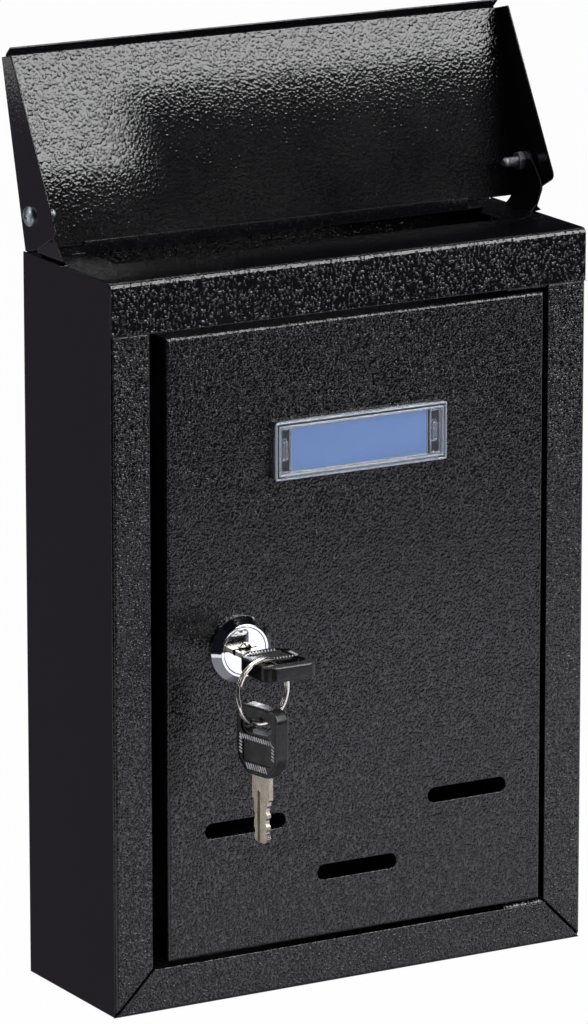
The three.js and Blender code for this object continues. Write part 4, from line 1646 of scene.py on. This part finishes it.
    def hatching(self, face: float) -> bmesh.types.BMesh:
        """Slanted bars in the border of one panel.

        Args:
            face: The bow face that the bars are flush with, in local Z.

        Returns:
            All the bars in one mesh.
        """
        side = 1 if face > 0 else -1
        above, below = self.hatch_sink
        low, high = sorted((face - side * above, face - side * (self.panel_depth + below)))
        bars = []
        bottom, top = self.panel_low, self.panel_high
        begin, end, short = self.end_strip
        neck_begin, neck_end, neck_short = self.neck_strip
        for near, far, margin in (
            (bottom + begin, bottom + end, short),
            (top - neck_begin, top - neck_end, neck_short),
        ):
            reach = self.panel_half_width - margin
            count = int(2 * reach / self.hatch_pitch)
            for i in range(count + 1):
                x = -reach + i * self.hatch_pitch
                bars.append(self.bar((x, (near + far) / 2), far - near, self.hatch_lean, low, high))
        first, last = bottom + self.column_ends[0], top - self.column_ends[1]
        count = int((last - first) / self.hatch_pitch)
        column = self.panel_half_width - self.hatch_side / 2
        for x in (-column, column):
            for i in range(count):
                middle = (x, first + i * self.hatch_pitch)
                span = self.hatch_side * self.column_bar
                bars.append(self.bar(middle, span, self.side_lean, low, high))
        bm = merge(*bars)
        # painted highlight: the bars are marked in full, so they are drawn light grey
        mark_painted_light(bm)
        return bm

    def bar(
        self, middle: tuple[float, float], span: float, lean: float, low: float, high: float
    ) -> bmesh.types.BMesh:
        """One slanted bar of the hatching.

        Args:
            middle: Its middle in local X and Y.
            span: Its length.
            lean: Its turn from local Y.
            low: Its lower face.
            high: Its upper face.

        Returns:
            The bar.
        """
        half = self.hatch_bar / 2
        bm = box((-half, -span / 2, low), (half, span / 2, high))
        bm.transform(Matrix.Translation((*middle, 0.0)) @ Matrix.Rotation(-lean, 4, "Z"))
        return bm


@dataclass
class SplitRing:
    """The split ring: flat spring wire wound twice, with its two cut ends side by side."""

    radius: float = 12.7 * MM
    wire_height: float = 0.96 * MM
    wire_width: float = 1.75 * MM
    wire_corner: float = 0.44 * MM
    pitch: float = 1.02 * MM
    first_turn: float = 0.9
    crossing: float = 0.1
    second_turn: float = 0.86
    steps: int = 90  # to a whole turn
    start: float = math.radians(200)

    def build(self, shop: PaintShop) -> None:
        """Builds the ring about its middle in the frame.

        Args:
            shop: Where the finishes come from.
        """
        bm = bmesh.new()
        wide, tall, corner = self.wire_width / 2, self.wire_height / 2, self.wire_corner
        places = []
        for a, b, quarter in ((1, -1, 3), (1, 1, 0), (-1, 1, 1), (-1, -1, 2)):
            for step in range(4):
                turn = math.pi / 2 * (quarter + step / 3)
                x = a * (wide - corner) + corner * math.cos(turn)
                places.append((x, b * (tall - corner) + corner * math.sin(turn)))
        loop = [bm.verts.new((self.radius + r, 0.0, z)) for r, z in places]
        edges = [bm.edges.new(pair) for pair in zip(loop, loop[1:] + loop[:1])]
        bm.faces.new(loop)
        stages = ((self.first_turn, 0.0), (self.crossing, self.pitch), (self.second_turn, 0.0))
        for turns, rise in stages:
            steps = round(self.steps * turns)
            swept = bmesh.ops.spin(
                bm, geom=edges, cent=(0, 0, 0), axis=(0, 0, 1), dvec=(0, 0, rise / steps),
                angle=2 * math.pi * turns, steps=steps, use_duplicate=False,
            )
            edges = [g for g in swept["geom_last"] if isinstance(g, bmesh.types.BMEdge)]
        bmesh.ops.edgeloop_fill(bm, edges=edges)
        bmesh.ops.translate(bm, verts=bm.verts[:], vec=(0, 0, -self.pitch / 2))
        bmesh.ops.recalc_face_normals(bm, faces=bm.faces[:])
        settle_order(bm)
        spin = Matrix.Rotation(self.start, 4, "Z")
        hang = Matrix.Rotation(RING_TURN, 4, "Z") @ turn_to(Vector((0, 1, 0)))
        bm.transform(Matrix.Translation(centre_of("key_ring")) @ hang @ spin)
        seat = Seat("ring", "nickel", ("key_ring",))
        finish_piece("key_ring_wound", bm, shop.material(BRIGHT_NICKEL), seat)


# ------------------------------------------------------------------ lid screws


class Side(Enum):
    """The mailbox's two sides, by the sign of X."""

    LEFT = -1
    RIGHT = 1


@dataclass
class LidScrew:
    """A pan head screw with a cross recess and a threaded shank, and its chamfered nut."""

    side: Side
    head_radius: float = 4.1 * MM
    head_height: float = 2.5 * MM
    dome_height: float = 0.78  # the dome's share of the head's height
    dome_fullness: float = 0.28  # 0 for an ellipse, more for a flatter top
    dome_steps: int = 10
    shank_radius: float = 2.0 * MM
    pitch: float = 0.7 * MM
    thread_depth: float = 0.34 * MM
    thread_crest: tuple[float, float] = (0.45, 0.55)  # where the crest begins and ends in a pitch
    thread_start: float = 0.6 * MM  # from the head's seat
    point_length: float = 0.5 * MM
    point_fall: float = 0.4 * MM
    recess_length: float = 4.6 * MM
    recess_width: float = 0.95 * MM
    recess_corner: float = 0.15 * MM
    recess_depth: float = 1.5 * MM
    recess_taper: float = 0.45  # length at the recess's bottom against its top
    recess_turn: float = math.radians(20)
    screw_edge: float = 0.07 * MM
    screw_sharp: float = math.radians(50)  # least bend of an edge that is rounded
    nut_width: float = 7 * MM
    nut_height: float = 2.2 * MM
    nut_chamfer: float = 0.55 * MM
    chamfer_run: float = 1.7  # the chamfer's width against its height
    nut_bore: float = 2.2 * MM
    nut_turn: float = math.radians(17)
    nut_edge: float = 0.08 * MM
    nut_sharp: float = math.radians(25)

    def build(self, shop: PaintShop) -> None:
        """Builds the screw and the nut.

        Args:
            shop: Where the finishes come from.
        """
        name = self.side.name.lower()
        inward = Vector((-self.side.value, 0, 0))
        zinc = shop.material(BLUE_ZINC)
        low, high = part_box(f"lid_screw_{name}")
        length = (high.x - low.x) - self.head_height
        middle = (low + high) / 2
        head_end = high.x if self.side is Side.RIGHT else low.x
        seat = Vector((head_end + inward.x * self.head_height, middle.y, middle.z))
        screw = self.screw(length)
        screw.transform(Matrix.Translation(seat) @ turn_to(inward))
        place = Seat("frame", "zinc", (f"lid_screw_{name}",))
        finish_piece(f"lid_screw_{name}_plated", screw, zinc, place, SMOOTH_PLATED)
        low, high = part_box(f"lid_nut_{name}")
        nut_seat = high.x if self.side is Side.RIGHT else low.x
        nut = self.nut()
        nut.transform(Matrix.Translation((nut_seat, middle.y, middle.z)) @ turn_to(inward))
        place = Seat("frame", "zinc", (f"lid_nut_{name}",))
        finish_piece(f"lid_nut_{name}_plated", nut, zinc, place, self.nut_sharp)

    def screw(self, length: float) -> bmesh.types.BMesh:
        """Head and shank about local Z, with the head's seat at 0 and the shank on +Z.

        Args:
            length: The shank's length.

        Returns:
            The screw.
        """
        top = -self.head_height
        full, rise = self.dome_fullness, self.head_height * self.dome_height
        arc = []
        for i in range(self.dome_steps + 1):
            turn = math.pi / (2 * self.dome_steps) * i
            sine, cosine = math.sin(turn), math.cos(turn)
            reach = self.head_radius * (sine * (1 - full) + full * sine**3)
            arc.append((reach, top + (1 - cosine) * rise))
        crest, root = self.shank_radius, self.shank_radius - self.thread_depth
        rise, fall = (share * self.pitch for share in self.thread_crest)
        thread = []
        for i in range(int((length - 2 * self.thread_start) / self.pitch)):
            z = self.thread_start + i * self.pitch
            thread += [(root, z), (crest, z + rise), (crest, z + fall)]
        end = [
            (root, length - self.point_length), (root - self.point_fall, length), (0.0, length)
        ]
        body = turned([*arc, (self.head_radius, 0.0), (root, 0.0), *thread, *end], 48)
        outline = rectangle(self.recess_length / 2, self.recess_width / 2, self.recess_corner)
        cross = []
        for turn in (0.0, math.pi / 2):
            arm = slab(outline, top - MM, top + self.recess_depth, 2)
            for vertex in arm.verts:
                if vertex.co.z > top:
                    vertex.co.x *= self.recess_taper
            arm.transform(Matrix.Rotation(turn + self.recess_turn, 4, "Z"))
            cross.append(arm)
        bm = carve(body, *cross)
        soften(bm, self.screw_edge, 1, self.screw_sharp, clamp=True)
        return bm

    def nut(self) -> bmesh.types.BMesh:
        """Hexagon nut about local Z with both faces chamfered, its seat at 0.

        Returns:
            The nut.
        """
        height, reach, corner = self.nut_height, self.nut_width / 2, self.nut_width / math.sqrt(3)
        turn = Matrix.Rotation(self.nut_turn, 4, "Z")
        hexagon = bmesh.new()
        bmesh.ops.create_cone(
            hexagon, cap_ends=True, segments=6, radius1=corner, radius2=corner, depth=height,
            matrix=Matrix.Translation((0, 0, height / 2)) @ turn,
        )
        wide, cut = reach + self.nut_chamfer * self.chamfer_run, self.nut_chamfer
        lower, upper = [(0.0, 0.0), (reach, 0.0), (wide, cut)], [(wide, height - cut), (reach, height)]
        cone = [*lower, *upper, (0.0, height)]
        bore = [(0.0, -MM), (self.nut_bore, -MM), (self.nut_bore, height + MM), (0.0, height + MM)]
        bm = carve(carve(hexagon, turned(cone, 64), operation="INTERSECT"), turned(bore, 48))
        soften(bm, self.nut_edge, 2, self.nut_sharp, clamp=True)
        return bm


# ------------------------------------------------------------------ studio


@dataclass(frozen=True)
class SoftBox:
    """One soft light: where its middle is, where it looks, its sides, roll and brightness."""

    name: str
    middle: tuple[float, float, float]
    target: tuple[float, float, float]
    width: float
    height: float
    roll: float
    radiance: float

    def build(self) -> bpy.types.Object:
        """Builds the light.

        Returns:
            The light's object.
        """
        lamp = bpy.data.lights.new(self.name, "AREA")
        lamp.shape = "RECTANGLE"
        lamp.size, lamp.size_y = self.width, self.height
        lamp.energy = self.radiance * math.pi * self.width * self.height
        light = add_object(self.name, lamp)
        look = (Vector(self.target) - Vector(self.middle)).to_track_quat("-Z", "Y").to_matrix().to_4x4()
        light.matrix_world = Matrix.Translation(self.middle) @ look @ Matrix.Rotation(self.roll, 4, "Z")
        return light


@dataclass(frozen=True)
class Flag:
    """A glowing plane that lights nothing and that only reflections see: a dark one paints a dark
    reflection, as black cloth set round glossy black goods gives, and a pale or bright one paints a
    reflection or highlight.
    """

    name: str
    middle: tuple[float, float, float]
    facing: tuple[float, float, float]
    width: float
    height: float
    shade: str
    strength: float = 1.0

    def build(self) -> bpy.types.Object:
        """Builds the flag.

        Returns:
            The flag's object.
        """
        bm = bmesh.new()
        bmesh.ops.create_grid(bm, x_segments=1, y_segments=1, size=0.5)
        bm.transform(Matrix.Diagonal((self.width, self.height, 1.0, 1.0)))
        look = Vector(self.facing).to_track_quat("Z", "Y").to_matrix().to_4x4()
        bm.transform(Matrix.Translation(self.middle) @ look)
        mesh = mesh_of(self.name, bm)
        material, tree = new_material(self.name)
        glow = add_node(
            tree, "ShaderNodeEmission", {"Color": linear(self.shade), "Strength": self.strength}
        )
        add_node(tree, "ShaderNodeOutputMaterial", {}, {"Surface": glow.outputs["Emission"]})
        mesh.materials.append(material)
        flag = add_object(self.name, mesh)
        for ray in ("camera", "diffuse", "transmission", "shadow", "volume_scatter"):
            setattr(flag, f"visible_{ray}", False)
        return flag


@dataclass
class Studio:
    """Pale floor, white surround, soft boxes, flags and the camera."""

    floor_height: float = -0.45
    floor_half: float = 30.0
    floor_colour: str = "#f4f4f4"
    floor_glow: float = 0.97
    ambient: float = 0.4
    camera_place: tuple[float, float, float] = (-1.355528, -2.380325, 0.708779)
    camera_forward: tuple[float, float, float] = (0.484218, 0.841133, -0.240870)
    camera_roll: float = -0.00086
    lens: float = 246.39
    boxes: tuple[SoftBox, ...] = (
        SoftBox("front_softbox", (1.22, -2.0, 1.12), (0.0, 0.0, 0.19), 1.7, 1.2, math.radians(6), 9.0),
        SoftBox("back_softbox", (0.6, 1.2, 2.2), (0.0, 0.0, 0.1), 1.2, 0.8, 0.0, 3.0),
        SoftBox("left_back_softbox", (-2.2, 0.35, 1.3), (0.0, 0.0, 0.1), 0.8, 0.8, 0.0, 5.0),
    )
    flags: tuple[Flag, ...] = (
        Flag("back_low_flag", (-0.30, 0.46, -0.165), (0, -1, 0), 0.90, 0.57, "#67616c"),
        Flag("back_flag", (0.5, 0.60, 0.60), (0, -1, 0), 5.0, 0.96, "#1d1c1f"),
        Flag("under_flag", (-0.35, -0.05, -0.445), (0, 0, 1), 1.7, 0.9, "#8a8a90"),
        Flag("near_front_flag", (0.7, -1.08, -0.085), (0, 1, 0), 2.6, 0.39, "#0a0a0c"),
        Flag("near_left_flag", (-0.135, -1.08, -0.365), (0, 1, 0), 0.93, 0.17, "#101013"),
        Flag("near_right_flag", (1.415, -1.08, -0.365), (0, 1, 0), 1.17, 0.17, "#101013"),
        # painted reflection and highlight: bright planes that light nothing and only reflections see;
        # the floor one brightens the door's lower reflections, the overhead one the highlights along
        # the bends
        Flag("front_floor_highlight_plane", (1.0, -2.05, -0.44), (0, 0, 1), 1.5, 2.4, "#f3efff", 2.0),
        Flag("overhead_highlight_plane", (1.15, -1.25, 1.9), (0, 0, -1), 1.8, 0.8, "#ffffff", 9.5),
        Flag("front_flag", (1.2, -3.2, 1.72), (0, 1, 0), 6.0, 3.9, "#101013"),
        Flag("left_flag", (-1.25, -1.1, 0.80), (1, 0, 0), 2.6, 2.4, "#15161c"),
        Flag("right_flag", (3.9, -0.6, 1.72), (-1, 0, 0), 6.0, 3.9, "#101013"),
        Flag("roof_flag", (0.9, -1.8, 3.4), (0, 0, -1), 6.0, 3.4, "#0c0c10"),
        # painted reflection: two dark planes at the slot, seen only in the lid's reflection, paint the
        # dark backs of letters that are not there
        Flag("long_painted_letter_reflection", (0.061, -0.045, 0.186), (0, 1, 0), 0.198, 0.070, "#08080a"),
        Flag("short_painted_letter_reflection", (-0.0175, -0.046, 0.171), (0, 1, 0), 0.175, 0.037, "#08080a"),
    )

    def build(self) -> None:
        """Builds the surround, the floor, the lights and the camera."""
        self.surround()
        self.floor()
        for soft_box in self.boxes:
            soft_box.build()
        for flag in self.flags:
            flag.build()
        self.camera()
        bpy.context.scene.view_settings.view_transform = "Standard"

    def seen_directly(self, tree: bpy.types.NodeTree) -> bpy.types.NodeSocket:
        """1 for camera, mirror and glass rays, and 0 for the rest.

        Args:
            tree: The tree that asks.

        Returns:
            The socket.
        """
        path = add_node(tree, "ShaderNodeLightPath")
        first = add_node(
            tree,
            "ShaderNodeMath",
            {"operation": "MAXIMUM"},
            {0: path.outputs["Is Camera Ray"], 1: path.outputs["Is Glossy Ray"]},
        )
        both = add_node(
            tree,
            "ShaderNodeMath",
            {"operation": "MAXIMUM"},
            {0: first.outputs[0], 1: path.outputs["Is Transmission Ray"]},
        )
        return both.outputs[0]

    def surround(self) -> None:
        """A white surround that lights the object with a plain, even level."""
        world = bpy.data.worlds.new("white_surround")
        world.use_nodes = True
        tree = world.node_tree
        tree.nodes.clear()
        paper = linear("#ffffff")
        even = add_node(tree, "ShaderNodeBackground", {"Color": paper, "Strength": self.ambient})
        white = add_node(tree, "ShaderNodeBackground", {"Color": paper, "Strength": 1.0})
        mix = add_node(
            tree,
            "ShaderNodeMixShader",
            {},
            {0: self.seen_directly(tree), 1: even.outputs[0], 2: white.outputs[0]},
        )
        add_node(tree, "ShaderNodeOutputWorld", {}, {"Surface": mix.outputs[0]})
        bpy.context.scene.world = world

    def floor(self) -> None:
        """A plain pale floor below the mailbox, which keeps a soft shadow."""
        bm = bmesh.new()
        bmesh.ops.create_grid(
            bm, x_segments=1, y_segments=1, size=self.floor_half,
            matrix=Matrix.Translation((0, 0, self.floor_height)),
        )
        mesh = mesh_of("floor", bm)
        material, tree = new_material("pale_floor")
        paper = add_node(tree, "ShaderNodeBsdfDiffuse", {"Color": linear(self.floor_colour)})
        white = add_node(tree, "ShaderNodeEmission", {"Color": linear("#ffffff"), "Strength": 1.0})
        share = add_node(
            tree,
            "ShaderNodeMath",
            {"operation": "MULTIPLY", 1: self.floor_glow},
            {0: self.seen_directly(tree)},
        )
        mix = add_node(
            tree,
            "ShaderNodeMixShader",
            {},
            {0: share.outputs[0], 1: paper.outputs[0], 2: white.outputs[0]},
        )
        add_node(tree, "ShaderNodeOutputMaterial", {}, {"Surface": mix.outputs[0]})
        mesh.materials.append(material)
        add_object("floor", mesh)

    def camera(self) -> None:
        """The camera, which looks down at the mailbox's left front."""
        data = bpy.data.cameras.new("camera")
        data.sensor_width = 36.0
        data.lens = self.lens
        data.clip_end = 200.0
        camera = add_object("camera", data)
        look = Vector(self.camera_forward).to_track_quat("-Z", "Y").to_matrix().to_4x4()
        camera.matrix_world = (
            Matrix.Translation(self.camera_place) @ look @ Matrix.Rotation(self.camera_roll, 4, "Z")
        )
        bpy.context.scene.camera = camera


# ------------------------------------------------------------------ the whole


def main() -> None:
    """Builds the mailbox's looks on its frame."""
    logging.basicConfig(level=logging.INFO, format="%(name)s %(message)s")
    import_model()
    shop = PaintShop()
    for assembly in (
        Housing(),
        RainLid(),
        FrontDoor(),
        NamePlate(),
        CamLock(),
        LockKey(KeyPlace.INSERTED),
        LockKey(KeyPlace.SPARE),
        SplitRing(),
        LidScrew(Side.LEFT),
        LidScrew(Side.RIGHT),
    ):
        LOG.info("building %s", type(assembly).__name__)
        assembly.build(shop)
    Studio().build()


if __name__ == "__main__":
    main()
